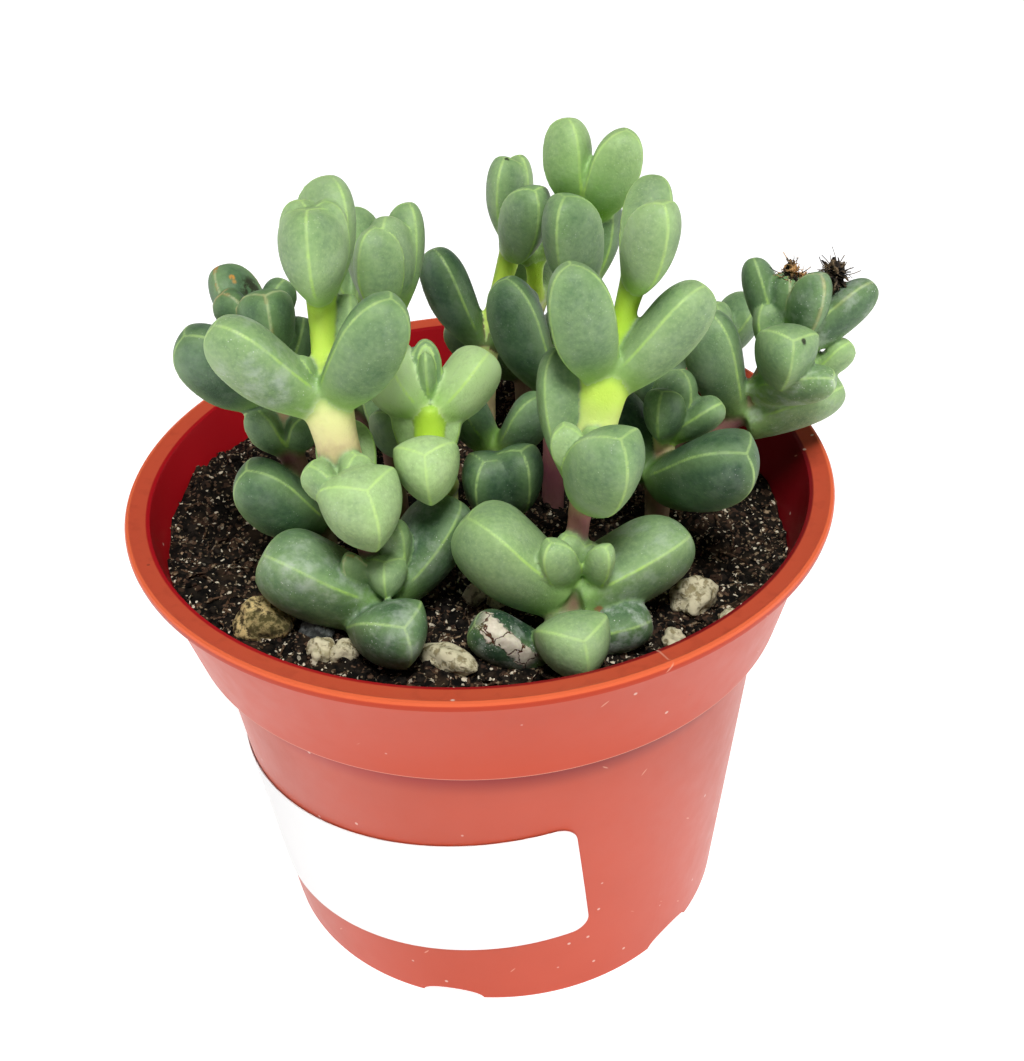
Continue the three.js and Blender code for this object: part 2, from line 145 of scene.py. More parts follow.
class Tree:
    """A node tree, with one way to make any node."""

    def __init__(self, node_tree):
        self.data = node_tree

    def make(self, kind, settings=None, inputs=None, output=0):
        node = self.data.nodes.new(kind)
        for name, value in (settings or {}).items():
            if name == "stops":
                self.set_stops(node.color_ramp, value)
            else:
                setattr(node, name, value)
        for name, value in (inputs or {}).items():
            if isinstance(value, Field):
                self.data.links.new(value.socket, node.inputs[name])
            else:
                node.inputs[name].default_value = value
        return Field(self, node.outputs[output]) if len(node.outputs) else None

    @staticmethod
    def set_stops(ramp, stops):
        while len(ramp.elements) < len(stops):
            ramp.elements.new(0.5)
        for element, (place, colour) in zip(ramp.elements, stops):
            element.position = place
            element.color = colour

    def parts(self, vector):
        x = self.make("ShaderNodeSeparateXYZ", None, {0: vector})
        return x, x.other("Y"), x.other("Z")

    def whole(self, x, y, z):
        return self.make("ShaderNodeCombineXYZ", None, {0: x, 1: y, 2: z})

    def mix(self, factor, a, b):
        """Two colours, mixed: a where factor is 0, b where it is 1."""
        settings = {"data_type": "RGBA", "blend_type": "MIX", "clamp_factor": True}
        a = a if isinstance(a, Field) else (*a, 1)
        b = b if isinstance(b, Field) else (*b, 1)
        return self.make("ShaderNodeMix", settings, {0: factor, 6: a, 7: b}, output=2)


class Shader(Tree):
    """A material's tree, with a Principled shader ready to take its links."""

    def __init__(self, name, **constants):
        self.material = bpy.data.materials.new(name)
        self.material.use_nodes = True
        super().__init__(self.material.node_tree)
        self.shader = self.data.nodes["Principled BSDF"]
        for key, value in constants.items():
            self.shader.inputs[key.replace("_", " ")].default_value = value
        self.place = self.make("ShaderNodeTexCoord", output="Object")

    def noise(self, scale, detail=2.0, rough=0.5):
        """Noise with about this many lumps in a millimetre."""
        inputs = {"Vector": self.place, "Scale": scale / MM, "Detail": detail, "Roughness": rough}
        return self.make("ShaderNodeTexNoise", None, inputs)

    def cells(self, scale, feature="F1", place=None):
        """The distance from the middle, or the edge, of cells of about this many in a millimetre."""
        inputs = {"Vector": place or self.place, "Scale": scale / MM}
        return self.make("ShaderNodeTexVoronoi", {"feature": feature}, inputs, "Distance")

    def torn(self, scale, reach):
        """The place on the object, shifted by up to about reach mm, so that cells come out ragged."""
        shift = self.noise(scale, 3.0).other("Color")
        shift = self.make("ShaderNodeVectorMath", {"operation": "SCALE"}, {0: shift, "Scale": reach * MM})
        return self.make("ShaderNodeVectorMath", {"operation": "ADD"}, {0: self.place, 1: shift})

    def ramp(self, stops, factor):
        return self.make("ShaderNodeValToRGB", {"stops": stops}, {"Fac": factor})

    def attribute(self, name):
        return self.make("ShaderNodeAttribute", {"attribute_name": name}, output="Vector")

    def spot(self, centre, reach):
        """1 at a place on the object, fading to 0 at reach mm from it."""
        inputs = {0: self.place, 1: tuple(v * MM for v in centre)}
        away = self.make("ShaderNodeVectorMath", {"operation": "DISTANCE"}, inputs, "Value")
        return away.step(reach * MM, reach * 0.5 * MM)

    def along(self, direction):
        """How far a point lies along a direction, in mm."""
        inputs = {0: self.place, 1: direction}
        return self.make("ShaderNodeVectorMath", {"operation": "DOT_PRODUCT"}, inputs, "Value") / MM

    def around(self, x, y):
        """The angle about the pot's axis, in radians."""
        return self.make("ShaderNodeMath", {"operation": "ARCTAN2"}, {0: y, 1: x})

    def link(self, name, field):
        self.data.links.new(field.socket, self.shader.inputs[name])

    def bump(self, height, depth, strength):
        inputs = {"Height": height, "Distance": depth * MM, "Strength": strength}
        return self.make("ShaderNodeBump", None, inputs)


def set_stage():
    world = bpy.data.worlds.new("studio")
    bpy.context.scene.world = world
    world.use_nodes = True
    background = world.node_tree.nodes["Background"]
    background.inputs["Color"].default_value = (1, 1, 1, 1)
    # The sheet of paper goes on up behind the floor as a bright band; above it the room is dim.
    sky = Tree(world.node_tree)
    height = sky.parts(sky.make("ShaderNodeTexCoord", output="Generated"))[2]
    strength = AMBIENT + height.step(0.15, 0.07) * (1.0 - AMBIENT)
    world.node_tree.links.new(strength.socket, background.inputs["Strength"])
    bpy.context.scene.view_settings.view_transform = "Standard"
    for name, (place, size, power) in LAMPS.items():
        add_lamp(name, place, size, power)
    bpy.ops.mesh.primitive_plane_add(size=FLOOR_SIZE)
    floor = bpy.context.object
    floor.name = "floor"
    paper = Shader("floor_paper", Base_Color=(0.35, 0.35, 0.35, 1), Roughness=0.9)
    paper.shader.inputs["Emission Color"].default_value = (1, 1, 1, 1)
    paper.shader.inputs["Emission Strength"].default_value = FLOOR_GLOW
    floor.data.materials.append(paper.material)


# Meshes


def mesh_object(name, points, faces, material=None, smooth=True):
    mesh = bpy.data.meshes.new(name)
    mesh.from_pydata(points, [], faces)
    mesh.update()
    if smooth:
        mesh.polygons.foreach_set("use_smooth", [True] * len(mesh.polygons))
    if material:
        mesh.materials.append(material)
    made = bpy.data.objects.new(name, mesh)
    bpy.context.scene.collection.objects.link(made)
    return made


def baked(shown, name):
    """An object's final shape as a plain mesh object; the object itself goes."""
    depsgraph = bpy.context.evaluated_depsgraph_get()
    evaluated = shown.evaluated_get(depsgraph)
    mesh = bpy.data.meshes.new_from_object(evaluated, preserve_all_data_layers=True, depsgraph=depsgraph)
    result = bpy.data.objects.new(name, mesh)
    bpy.context.scene.collection.objects.link(result)
    bpy.data.objects.remove(shown)
    return result


def keep(piece, slot, *nodes):
    """Joins a finished piece to the frame; nodes are the solids that it stands for."""
    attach(piece, "root")
    if nodes:
        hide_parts(*nodes)


def ring_faces(rows, around, first=0):
    """Quads between rings of points that follow each other in the list."""
    faces = []
    for row in range(rows - 1):
        low = first + row * around
        for k in range(around):
            n = (k + 1) % around
            faces.append((low + k, low + n, low + around + n, low + around + k))
    return faces


# The plant: sizes in millimetres, angles in degrees, as in the solid model

NECK = 0.92  # width where a level leaf leaves the stem, as a share of its greatest width
WAIST = 0.6  # how much narrower that is on an upright leaf
FULL_AT = 0.58  # where along its length a leaf is widest
BLUNT = 2.3  # how squarely it closes at the tip
KEEL = 0.84  # depth from the upper face to the keel, as a share of the width
CROWN = 0.16  # how far the upper face swells
FLANK = 0.17  # how far each lower face swells
DROP = 0.28  # how far the tip curves up from the keel
CHIN = 0.25  # how far the end of the keel juts out past the tip
INWARD = 0.4  # how strongly the upper face turns to the stem as the leaf stands up
FOLLOW = 0.35  # how far the upper face leans with the stem


def leaf(turn, rise, length, width):
    return turn, rise, length, width


def pair(turn, rise, length, width):
    return [leaf(turn, rise, length, width), leaf(turn + 180, rise, length, width)]


def joint(x, y, z, thick, *leaves):
    return np.array((x, y, z), float), thick, leaves


def bud(x, y, z, *leaves):
    return joint(x, y, z, 0, *leaves)


SHOOTS = {
    "shoot_front_left": [
        joint(-15.5, -26, 61, 4),
        joint(-16.5, -26.3, 69.7, 4, leaf(-67, 31, 17.2, 9.6)),
        joint(-14.4, -24.9, 74, 3.6, leaf(183, 26, 16.7, 12), leaf(31, 33, 16.1, 10)),
        joint(-17, -23.9, 87.6, 3.2, leaf(-70, 39, 11, 10.8), leaf(95, 45, 11.5, 8)),
        joint(-19, -21.1, 103, 6.3, leaf(195, 44, 17.1, 8.8), leaf(-27, 53, 18.6, 8.8)),
        joint(-18.3, -17.9, 115, 3.4, leaf(-90, 79, 12.5, 8.5), leaf(66, 67, 14.6, 7.6)),
        joint(-18.3, -17.5, 116.4, 3, leaf(170, 85, 11, 5.5), leaf(350, 80, 11, 5.5)),
        bud(-15.3, -25.4, 74.8, leaf(225, 62, 8.4, 3.4)),
        bud(-13, -26, 76, leaf(-95, 62, 5.5, 5.6), leaf(56, 72, 8.5, 4.9)),
        bud(-17.6, -26, 90.6, leaf(194, 52, 6.4, 4.9), leaf(5, 70, 5.9, 5)),
        bud(-19.6, -22, 105.2, leaf(185, 59, 4, 3)),
        bud(-19, -20, 104.6, leaf(45, 58, 11, 4.5)),
    ],
    "shoot_centre_front": [
        joint(11, -31, 61, 4.5),
        joint(9.4, -31, 70.2, 4.5, leaf(-79, 29, 14.5, 9.6), leaf(-6, 4, 12.6, 8)),
        joint(11.4, -27.9, 75.2, 4.5, leaf(172, 37, 16.9, 12), leaf(16, 10, 17.8, 11.1)),
        joint(13.8, -24, 88, 3.4, leaf(-70, 50, 17, 9.7), leaf(109, 66, 18.5, 8.2)),
        joint(17.4, -20.1, 102.3, 6, leaf(213, 72, 18, 8.5), leaf(-5, 45, 17.2, 8)),
        joint(21.3, -16.9, 114.1, 3.3, leaf(-72, 58, 15.2, 6.8), leaf(67, 46, 13.9, 6.4)),
        bud(8.5, -31.4, 66.3, leaf(-168, 33, 12.8, 7.4)),
        bud(11.6, -29.2, 77, leaf(-131, 61, 9.2, 5), leaf(110, 75, 6, 4)),
        bud(14.2, -29, 76.4, leaf(-70, 61, 8.9, 4), leaf(86, 79, 5, 3.4)),
        bud(13.4, -26.4, 93, leaf(208, 68, 7, 4.8), leaf(15, 60, 5, 4.2)),
    ],
    "shoot_left": [
        joint(-22, -16, 62, 4),
        joint(-22.4, -14.4, 79.4, 3.4, leaf(209, 49, 15, 9.2)),
        joint(-26, -12, 89.5, 3.4, leaf(187, 61, 7.7, 5), leaf(-5, 61, 5.5, 4.5)),
        joint(-27.2, -9, 98, 3.4, leaf(207, 44, 15.2, 9.3), leaf(40, 50, 10, 6)),
        joint(-27.2, -7, 103, 3, leaf(-77, 60, 11.4, 7.5), leaf(135, 47, 12.6, 6.9)),
        joint(-28.6, -7, 106, 2.6, leaf(194, 56, 6.5, 5), leaf(10, 52, 7.5, 5)),
    ],
    "shoot_centre_left": [
        joint(-12, 0, 62, 3),
        joint(-12.5, -2, 84, 3, *pair(-80, 50, 10, 6.5)),
        joint(-10.6, -1.6, 102, 2.8, leaf(136, 71, 17, 6.2)),
        joint(-10, -1.9, 104.4, 3, leaf(-90, 88, 14, 6.6), leaf(50, 72, 14.8, 5.8)),
        bud(-11, -4.1, 105.4, leaf(-130, 87, 12.4, 6.8)),
    ],
    "shoot_middle": [
        joint(-5, -10, 62, 4),
        joint(-5, -9.5, 80, 3.6),
        joint(-6.6, -18, 88.9, 5, leaf(-91, 39, 11.1, 8.7), leaf(89, 56, 11, 9.5)),
        joint(-6, -14.9, 96.2, 5.3, leaf(161, 51, 10.8, 8.7), leaf(19, 34, 10.8, 8)),
        joint(-5.9, -14.8, 97, 3, leaf(-90, 84, 8, 2.3), leaf(90, 84, 8, 2.3), leaf(92, 76, 8.4, 4)),
    ],
    "shoot_right_rear": [
        joint(11, 4, 62, 4),
        joint(12.4, 6, 86.4, 4, leaf(185, 70, 19.4, 8.5), leaf(-13, 55, 14, 7)),
        joint(16.9, 8, 101.8, 3.6, leaf(-113, 66, 17.8, 8.5), leaf(49, 70, 14, 8)),
        joint(17.5, 9, 112.4, 3.2, leaf(163, 81, 13.6, 7.1), leaf(-32, 63, 14.3, 7.2)),
    ],
    "shoot_rear": [
        joint(1, 17, 62, 4),
        joint(2.4, 18, 88.3, 3.6, leaf(173, 66, 17, 7.5), leaf(5, 50, 11, 6.5)),
        joint(7.3, 19, 103.5, 3.3, leaf(-70, 52, 15.4, 7.3), leaf(119, 86, 13.5, 6.2)),
        joint(7.5, 19.5, 105.3, 3, leaf(60, 75, 11.5, 5)),
    ],
    "shoot_right": [
        joint(30, 2, 61, 3.4),
        joint(33, 1, 76, 3.4),
        joint(39.6, 0, 83.8, 3.4, leaf(177, 71, 16.9, 8.5), leaf(-2, 12, 14.9, 8)),
        joint(44.2, 0, 92.6, 3.4, leaf(-92, 36, 13, 8.6), leaf(99, 60, 8, 6)),
        joint(45.9, 2, 93.6, 3.4, leaf(131, 58, 13, 5.4), leaf(-1, 36, 14.6, 6.2)),
        joint(46.9, 2.2, 94.8, 3, leaf(-66, 66, 12.2, 5.8), leaf(130, 80, 9, 5.8)),
        bud(41, -0.4, 88.6, leaf(-50, 22, 14.6, 5.7)),
        bud(50.4, 2, 89, leaf(153, 70, 5, 4), leaf(-19, 44, 6.4, 4.4)),
    ],
    "shoot_right_low": [
        joint(25, -10, 60, 4),
        joint(25.7, -11.5, 81.8, 4, leaf(-53, 31, 18.6, 10.7), leaf(140, 40, 14, 9)),
        joint(26.7, -10, 86.8, 3, leaf(-110, 70, 8.7, 5.8), leaf(52, 65, 9, 6.4)),
        joint(26.7, -10, 87.4, 3, leaf(-11, 30, 8.8, 5)),
    ],
    "shoot_right_back": [
        joint(32, 20, 60, 4),
        joint(34, 20, 76, 3.6, leaf(100, 35, 13, 9), leaf(-150, 40, 11, 8)),
        joint(37, 18.5, 84, 3.4, leaf(-75, 72, 10, 6.5), leaf(20, 40, 11.5, 7.5)),
        joint(36.5, 19, 86, 3, leaf(140, 70, 9, 6.5)),
    ],
    "shoot_middle_back": [
        joint(8, 30, 60, 4),
        joint(9, 31, 78, 3.8, *pair(10, 38, 15, 9)),
        joint(11, 29, 89, 3.4, leaf(100, 45, 15, 8.5)),
        joint(11, 28, 97, 3, leaf(20, 70, 10, 6), leaf(200, 70, 10, 6)),
    ],
    "shoot_left_back": [
        joint(-18, 20, 60, 4),
        joint(-18, 21, 78, 3.8, *pair(-20, 35, 15, 9)),
        joint(-17, 19, 90, 3.4, leaf(80, 45, 14, 8)),
        joint(-17, 19, 95, 3, leaf(-10, 66, 11, 6.5), leaf(170, 66, 11, 6.5)),
    ],
    "shoot_centre_low": [
        joint(4, -8, 62, 3.4),
        joint(4, -7, 75.5, 3.4, leaf(-70, 62, 13, 8), leaf(-118, 56, 12.5, 9)),
        joint(3, -3, 82, 3, leaf(-12, 53, 11, 6.5), leaf(150, 50, 10, 6.5)),
    ],
}

# How light the leaves of each row of a shoot are, from 0 to 1: partly their own colour, partly painted shade
# on leaves that lie in shadow. The last value also holds for further rows.
TONES = {
    "shoot_front_left": (0.3, 0.26, 0.33, 0.76, 0.52, 0.56, 0.56, 0.4, 0.5, 0.6, 0.5, 0.55),
    "shoot_centre_front": (0.3, 0.58, 0.58, 0.42, 0.52, 0.6, 0.1, 0.62, 0.62, 0.66),
    "shoot_left": (0.3, 0.2, 0.24, 0.15, 0.2),
    "shoot_centre_left": (0.3, 0.35, 0.45, 0.5),
    "shoot_middle": (0.4, 0.6, 0.92, 1.0, 0.7),
    "shoot_right_rear": (0.2, 0.15, 0.35, 0.7),
    "shoot_rear": (0.2, 0.1, 0.42, 0.54),
    "shoot_right": (0.2, 0.2, 0.3, 0.45, 0.22, 0.3, 0.4, 0.62),
    "shoot_right_low": (0.2, 0.09, 0.33),
    "shoot_right_back": (0.2, 0.2, 0.4),
    "shoot_middle_back": (0.2, 0.3, 0.4, 0.5),
    "shoot_left_back": (0.2, 0.3, 0.4, 0.5),
    "shoot_centre_low": (0.2, 0.1, 0.22),
}

# Single leaves that are lighter or darker than their neighbours, partly in their own colour and partly by
# painted shade.
LEAF_TONES = {
    ("shoot_front_left", 2, 1): 0.22,
    ("shoot_front_left", 4, 1): 0.38,
    ("shoot_centre_front", 2, 1): 0.46,
    ("shoot_centre_front", 4, 0): 0.44,
    ("shoot_centre_front", 1, 1): 0.22,
    ("shoot_right", 2, 1): 0.5,
    ("shoot_middle", 4, 0): 0.45,
    ("shoot_middle", 4, 2): 0.3,
}

# The leaves of side buds share one age; a few leaves are a fresh green still, which an age below 0 marks.
BUD_AGE, FRESH_AGE = 0.35, -0.6
FRESH = {("shoot_right_rear", 3, 0), ("shoot_right_rear", 3, 1)}

# How old the stems look beside their place on the shoot: below 1 they are greener.
STEM_AGES = {"shoot_middle": 0.45, "shoot_rear": 0.5, "shoot_right_rear": 0.7, "shoot_centre_front": 1.14}

# Leaves that are worn: chalky dust, corky scar and rusty streak, each from 0 to 1.
LEAST_WEAR = (0.1, 0.0, 0.0)
WEAR = {
    ("shoot_front_left", 1, 0): (0.5, 0.0, 0.0),
    ("shoot_front_left", 2, 0): (0.45, 0.0, 0.0),
    ("shoot_front_left", 2, 1): (0.3, 0.0, 0.0),
    ("shoot_front_left", 4, 0): (0.4, 0.0, 0.0),
    ("shoot_front_left", 7, 0): (0.0, 0.0, 0.6),
    ("shoot_centre_front", 1, 1): (0.9, 0.0, 0.0),
    ("shoot_centre_front", 2, 1): (0.35, 0.0, 0.0),
    ("shoot_centre_front", 6, 0): (0.6, 1.0, 0.0),
    ("shoot_left", 4, 1): (0.1, 0.0, 1.0),
    ("shoot_left", 5, 0): (0.0, 0.0, 0.35),
    ("shoot_left", 4, 0): (0.0, 0.0, 0.2),
    ("shoot_right", 2, 1): (0.3, 0.0, 0.0),
    ("shoot_right", 4, 1): (0.5, 0.0, 0.1),
    ("shoot_right", 5, 0): (0.4, 0.0, 0.2),
    ("shoot_right", 5, 1): (0.5, 0.1, 0.4),
    ("shoot_right", 6, 0): (0.6, 0.0, 0.0),
}


def unit(v):
    return v / np.linalg.norm(v)


def leaf_section(face_points=10):
    """Points round a leaf one unit wide, and how far each lies from the nearest of its three edges."""
    shares = np.arange(face_points) / face_points
    right, keel = np.array((0.5, 0.0)), np.array((0.0, -KEEL))
    outward = unit(np.array((KEEL, -0.5)))
    reach = np.linalg.norm(right - keel)
    points = [(0.5 - s, CROWN * 4 * s * (1 - s)) for s in shares]
    away = [min(s, 1 - s) for s in shares]
    half = [right + (keel - right) * s + outward * FLANK * 4 * s * (1 - s) for s in shares]
    half_away = [min(s, 1 - s) * reach for s in shares]
    points += [(-x, y) for x, y in half] + [tuple(keel)] + [tuple(p) for p in half[:0:-1]]
    away += half_away + [0.0] + half_away[:0:-1]
    return np.array(points), np.array(away)


SECTION, FROM_EDGE = leaf_section()

# Where along a leaf its rings of points lie, closer together towards the blunt tip.
STATIONS = np.array([*np.linspace(0, 0.58, 10), 0.64, 0.7, 0.76, 0.81, 0.86, 0.9, 0.935, 0.96, 0.98, 0.992])


# A stem swells towards its upper joint. It counts as this far from an edge, in mm, so it has no edge line.
STEM_SWELL = ((0, 0.6, 1), (0.9, 0.92, 1.12))
STEM_FROM_EDGE = 3.0


class Raw:
    """Points and faces of overlapping leaves and stems, with three marks on each point.

    edge: distance from the nearest edge in mm, place along the leaf, and 1 on a stem.
    tint: age from 0 at the top to 1 at the soil and below 0 on a fresh leaf, a leaf's tone, which is partly
    painted shade, and place along a stem.
    wear: chalky dust, corky scar and rusty streak.
    """

    def __init__(self):
        self.points, self.faces = [], []
        self.marks = {"edge": [], "tint": [], "wear": []}

    def add(self, rings, first, last, edge, tint, wear=(0.0, 0.0, 0.0)):
        around = len(rings[0])
        base = len(self.points)
        self.points += [first, *np.concatenate(rings), last]
        self.faces += [(base, base + 1 + (k + 1) % around, base + 1 + k) for k in range(around)]
        self.faces += ring_faces(len(rings), around, base + 1)
        end = base + 1 + (len(rings) - 1) * around
        self.faces += [(end + k, end + (k + 1) % around, len(self.points) - 1) for k in range(around)]
        self.marks["edge"] += edge
        self.marks["tint"] += tint
        self.marks["wear"] += [wear] * len(edge)

    def add_leaf(self, start, axis, turn, rise, length, width, age, tone, wear):
        heading = np.array((math.cos(math.radians(turn)), math.sin(math.radians(turn)), 0))
        along = heading * math.cos(math.radians(rise)) + np.array((0, 0, math.sin(math.radians(rise))))
        up = axis - INWARD * heading
        up = unit(up - along * up.dot(along))
        side = np.cross(up, along)
        centre = -DROP * width
        neck = NECK - WAIST * rise / 90

        def place(t, x, y):
            past = max(0.0, (t - FULL_AT) / (1 - FULL_AT))
            lift = -centre * t
            reach = t * length + CHIN * past * (centre - y)
            return start + np.outer(reach, along) + np.outer(x, side) + np.outer(y + lift, up)

        rings, marks = [], []
        for t in STATIONS:
            full = width * (neck + (1 - neck) * math.sin(min(t / FULL_AT, 1) * math.pi / 2))
            past = max(0.0, (t - FULL_AT) / (1 - FULL_AT))
            shut = (1 - past**BLUNT) ** (1 / BLUNT)
            x = SECTION[:, 0] * full * shut
            y = centre + (SECTION[:, 1] * full - centre) * shut
            rings.append(place(t, x, y))
            marks += [(away * full * shut, t, 0.0) for away in FROM_EDGE]
        first = place(0, np.array([0.0]), np.array([-0.4 * neck * width]))[0]
        last = place(1, np.array([0.0]), np.array([centre]))[0]
        marks = [(1.0, 0.0, 0.0), *marks, (0.0, 1.0, 0.0)]
        self.add(rings, first, last, marks, [(age, tone, 0.0)] * len(marks), wear)

    def add_stem(self, start, end, thick, low_age, high_age, around=20, rows=9):
        along = unit(end - start)
        side = unit(np.cross((0, 1, 0), along))
        across = np.cross(along, side)
        angles = np.arange(around) / around * 2 * math.pi
        rings, tint = [], []
        for s in np.linspace(0, 1, rows):
            radius = thick / 2 * float(np.interp(s, *STEM_SWELL))
            circle = np.outer(np.cos(angles), side) + np.outer(np.sin(angles), across)
            rings.append(start + (end - start) * s + radius * circle)
            age = low_age + (high_age - low_age) * s
            tint += [(age, 0.5, s)] * around
        marks = [(STEM_FROM_EDGE, 0.0, 1.0)] * (rows * around + 2)
        tint = [tint[0], *tint, tint[-1]]
        self.add(rings, start - 0.2 * along, end + 0.2 * along, marks, tint)

    def made(self, name):
        made = mesh_object(name, np.array(self.points) * MM, self.faces)
        for key, values in self.marks.items():
            layer = made.data.attributes.new(key, "FLOAT_VECTOR", "POINT")
            layer.data.foreach_set("vector", np.array(values, dtype=np.float32).ravel())
        return made


VECTORS = {"data_type": "FLOAT_VECTOR"}

# How finely leaves and stem are joined, in mm; shoots that hardly show are joined more coarsely.
VOXEL, HIDDEN_VOXEL = 0.33, 0.42
HIDDEN = {"shoot_right_back", "shoot_middle_back", "shoot_left_back", "shoot_centre_low"}


def store(tree, shape, name, value):
    settings = {**VECTORS, "domain": "POINT"}
    inputs = {"Geometry": shape, "Name": name, "Value": value}
    return tree.make("GeometryNodeStoreNamedAttribute", settings, inputs)


def skin_tree():
    """Lays the marks of the raw leaves on the joined skin, and eases the skin where they meet."""
    group = bpy.data.node_groups.new("joined_skin", "GeometryNodeTree")
    tree = Tree(group)
    for name, kind in (("Geometry", "NodeSocketGeometry"), ("Raw leaves", "NodeSocketObject")):
        group.interface.new_socket(name, in_out="INPUT", socket_type=kind)
    for name, times in (("Ease", 5), ("Smoothing", 2)):
        group.interface.new_socket(name, in_out="INPUT", socket_type="NodeSocketInt").default_value = times
    group.interface.new_socket("Geometry", in_out="OUTPUT", socket_type="NodeSocketGeometry")
    given = tree.make("NodeGroupInput")
    raw = tree.make("GeometryNodeObjectInfo", None, {"Object": given.other("Raw leaves")}, "Geometry")
    shape = given.other("Geometry")
    for name in ("edge", "tint", "wear"):
        value = tree.make("GeometryNodeInputNamedAttribute", VECTORS, {"Name": name})
        value = tree.make("GeometryNodeSampleNearestSurface", VECTORS, {"Mesh": raw, "Value": value})
        shape = store(tree, shape, name, value)
    # The base of each leaf and the stem are eased most; the rest only loses the steps of the joining.
    stored = tree.make("GeometryNodeInputNamedAttribute", VECTORS, {"Name": "edge"})
    near = tree.parts(stored)[1].step(0.25, 0.0)
    for times, share in ((given.other("Ease"), near), (given.other("Smoothing"), 0.7)):
        inputs = {"Value": tree.make("GeometryNodeInputPosition"), "Iterations": times, "Weight": share}
        eased = tree.make("GeometryNodeBlurAttribute", VECTORS, inputs)
        shape = tree.make("GeometryNodeSetPosition", None, {"Geometry": shape, "Position": eased})
    # The marks are blurred where stem meets leaf, so that their colours run into each other.
    soft = tree.make("GeometryNodeBlurAttribute", VECTORS, {"Value": stored, "Iterations": 8, "Weight": near})
    shape = store(tree, shape, "edge", soft)
    tree.make("NodeGroupOutput", None, {"Geometry": shape})
    return group


def socket_name(group, name):
    return next(s.identifier for s in group.interface.items_tree if s.name == name and s.in_out == "INPUT")


# Colours of a stem from the top of a shoot down to the soil.
STALK = [
    (0.0, (0.42, 0.68, 0.05, 1)),
    (0.16, (0.54, 0.82, 0.06, 1)),
    (0.27, (0.7, 0.94, 0.14, 1)),
    (0.34, (0.8, 0.88, 0.34, 1)),
    (0.4, (0.78, 0.68, 0.34, 1)),
    (0.47, (0.64, 0.42, 0.25, 1)),
    (0.53, (0.46, 0.17, 0.17, 1)),
    (0.6, (0.25, 0.08, 0.1, 1)),
    (0.8, (0.24, 0.19, 0.1, 1)),
    (1.0, (0.12, 0.08, 0.05, 1)),
]

# The skin's colour from a dark leaf, at 0, to the palest; the darkest end also serves as painted shade.
SKIN = [
    (0.0, (0.014, 0.048, 0.026, 1)),
    (0.3, (0.122, 0.222, 0.1, 1)),
    (1.0, (0.47, 0.65, 0.29, 1)),
]

# Places on the leaves, in mm: chalky dust with its reach, and small stains with their reach and colour.
DUSTY = [
    ((-25.8, -26.8, 106.8), 5.0),
    ((-24.6, -30.8, 81.4), 3.4),
    ((-11.4, -41.0, 76.0), 3.6),
    ((40.7, -3.2, 84.4), 1.6),
]
STAINS = [
    ((7.1, 19.6, 116.8), 0.5, (0.01, 0.012, 0.01)),
    ((14.7, -32.2, 73.3), 0.9, (0.3, 0.14, 0.06)),
    ((45.3, -10.5, 100.2), 0.55, (0.015, 0.015, 0.01)),
    ((45.2, -10.4, 99.6), 0.5, (0.015, 0.015, 0.01)),
    ((-29.0, -3.7, 109.9), 2.2, (0.03, 0.03, 0.015)),
    ((-31.2, -3.9, 111.8), 0.55, (0.6, 0.28, 0.05)),
    ((-31.1, -4.1, 111.0), 0.6, (0.62, 0.3, 0.06)),
    ((-31.0, -4.3, 110.2), 0.5, (0.5, 0.24, 0.05)),
]

# The corky scar's band: directions across and along it, where it lies across, and its half width, in mm.
SCAR_ACROSS, SCAR_ALONG = (-0.683, -0.421, -0.597), (0.684, -0.08, -0.725)
SCAR_AT, SCAR_HALF = -29.4, 1.3


def skin_colour(m, grain, along, age, tone):
    """Grey-green and a little blotched, darker at the base of an old leaf and lime at that of a young one."""
    cloud = m.noise(0.13, 3.0)
    dots = m.cells(2.1).step(0.34, 0.12) * m.noise(0.5, 2.0)
    blotches = (cloud - 0.5) * 0.7 + (grain - 0.5) * 0.5 + dots * 0.2
    green = m.ramp(SKIN, tone + blotches * (0.3 + tone))
    green = m.mix(cloud.step(0.5, 0.75) * 0.22, green, (0.3, 0.38, 0.3))
    green = m.mix(along.step(0.55, 0.1) * age.step(0.3, 0.8) * 0.4, green, (0.03, 0.09, 0.02))
    lime = along.step(0.4, 0.0) * (0.92 - age)
    green = m.mix(lime.clamp(), green, (0.28, 0.52, 0.06))
    fresh = along.step(1.2, 0.2) * -age
    return m.mix(fresh.clamp(), green, (0.12, 0.36, 0.01))


def edge_colour(m, green, edge, along, tone, rust):
    """A painted sheen near the three edges and a pale line on each, papery on a rusty leaf."""
    # Painted sheen: the skin is lighter within about 2.4 mm of each edge, more so on a light leaf.
    painted_edge_sheen = edge.step(2.4, 0.1) * (0.13 + tone * 0.26)
    green = m.mix(painted_edge_sheen, green, (0.42, 0.66, 0.22))
    broken = (0.9 * m.noise(0.3, 3.0)).greater(0.25)
    line = edge.step(0.32, 0.03) * along.step(0.02, 0.14) * broken
    pale = m.mix(along.step(0.2, 0.95), (0.46, 0.74, 0.1), (0.54, 0.76, 0.25))
    pale = m.mix(rust.step(0.0, 0.3) * 0.8, pale, (0.72, 0.66, 0.45))
    return m.mix((line * (0.8 + tone * 0.8)).clamp(), green, pale)


def chalky_dust(m, chalk):
    drift = m.noise(0.33, 5.0, 0.65)
    dusty = chalk * drift.step(0.46, 0.68) * 0.6
    for centre, reach in DUSTY:
        dusty = dusty.greater(m.spot(centre, reach) * drift.step(0.36, 0.66) * 0.42)
    return dusty


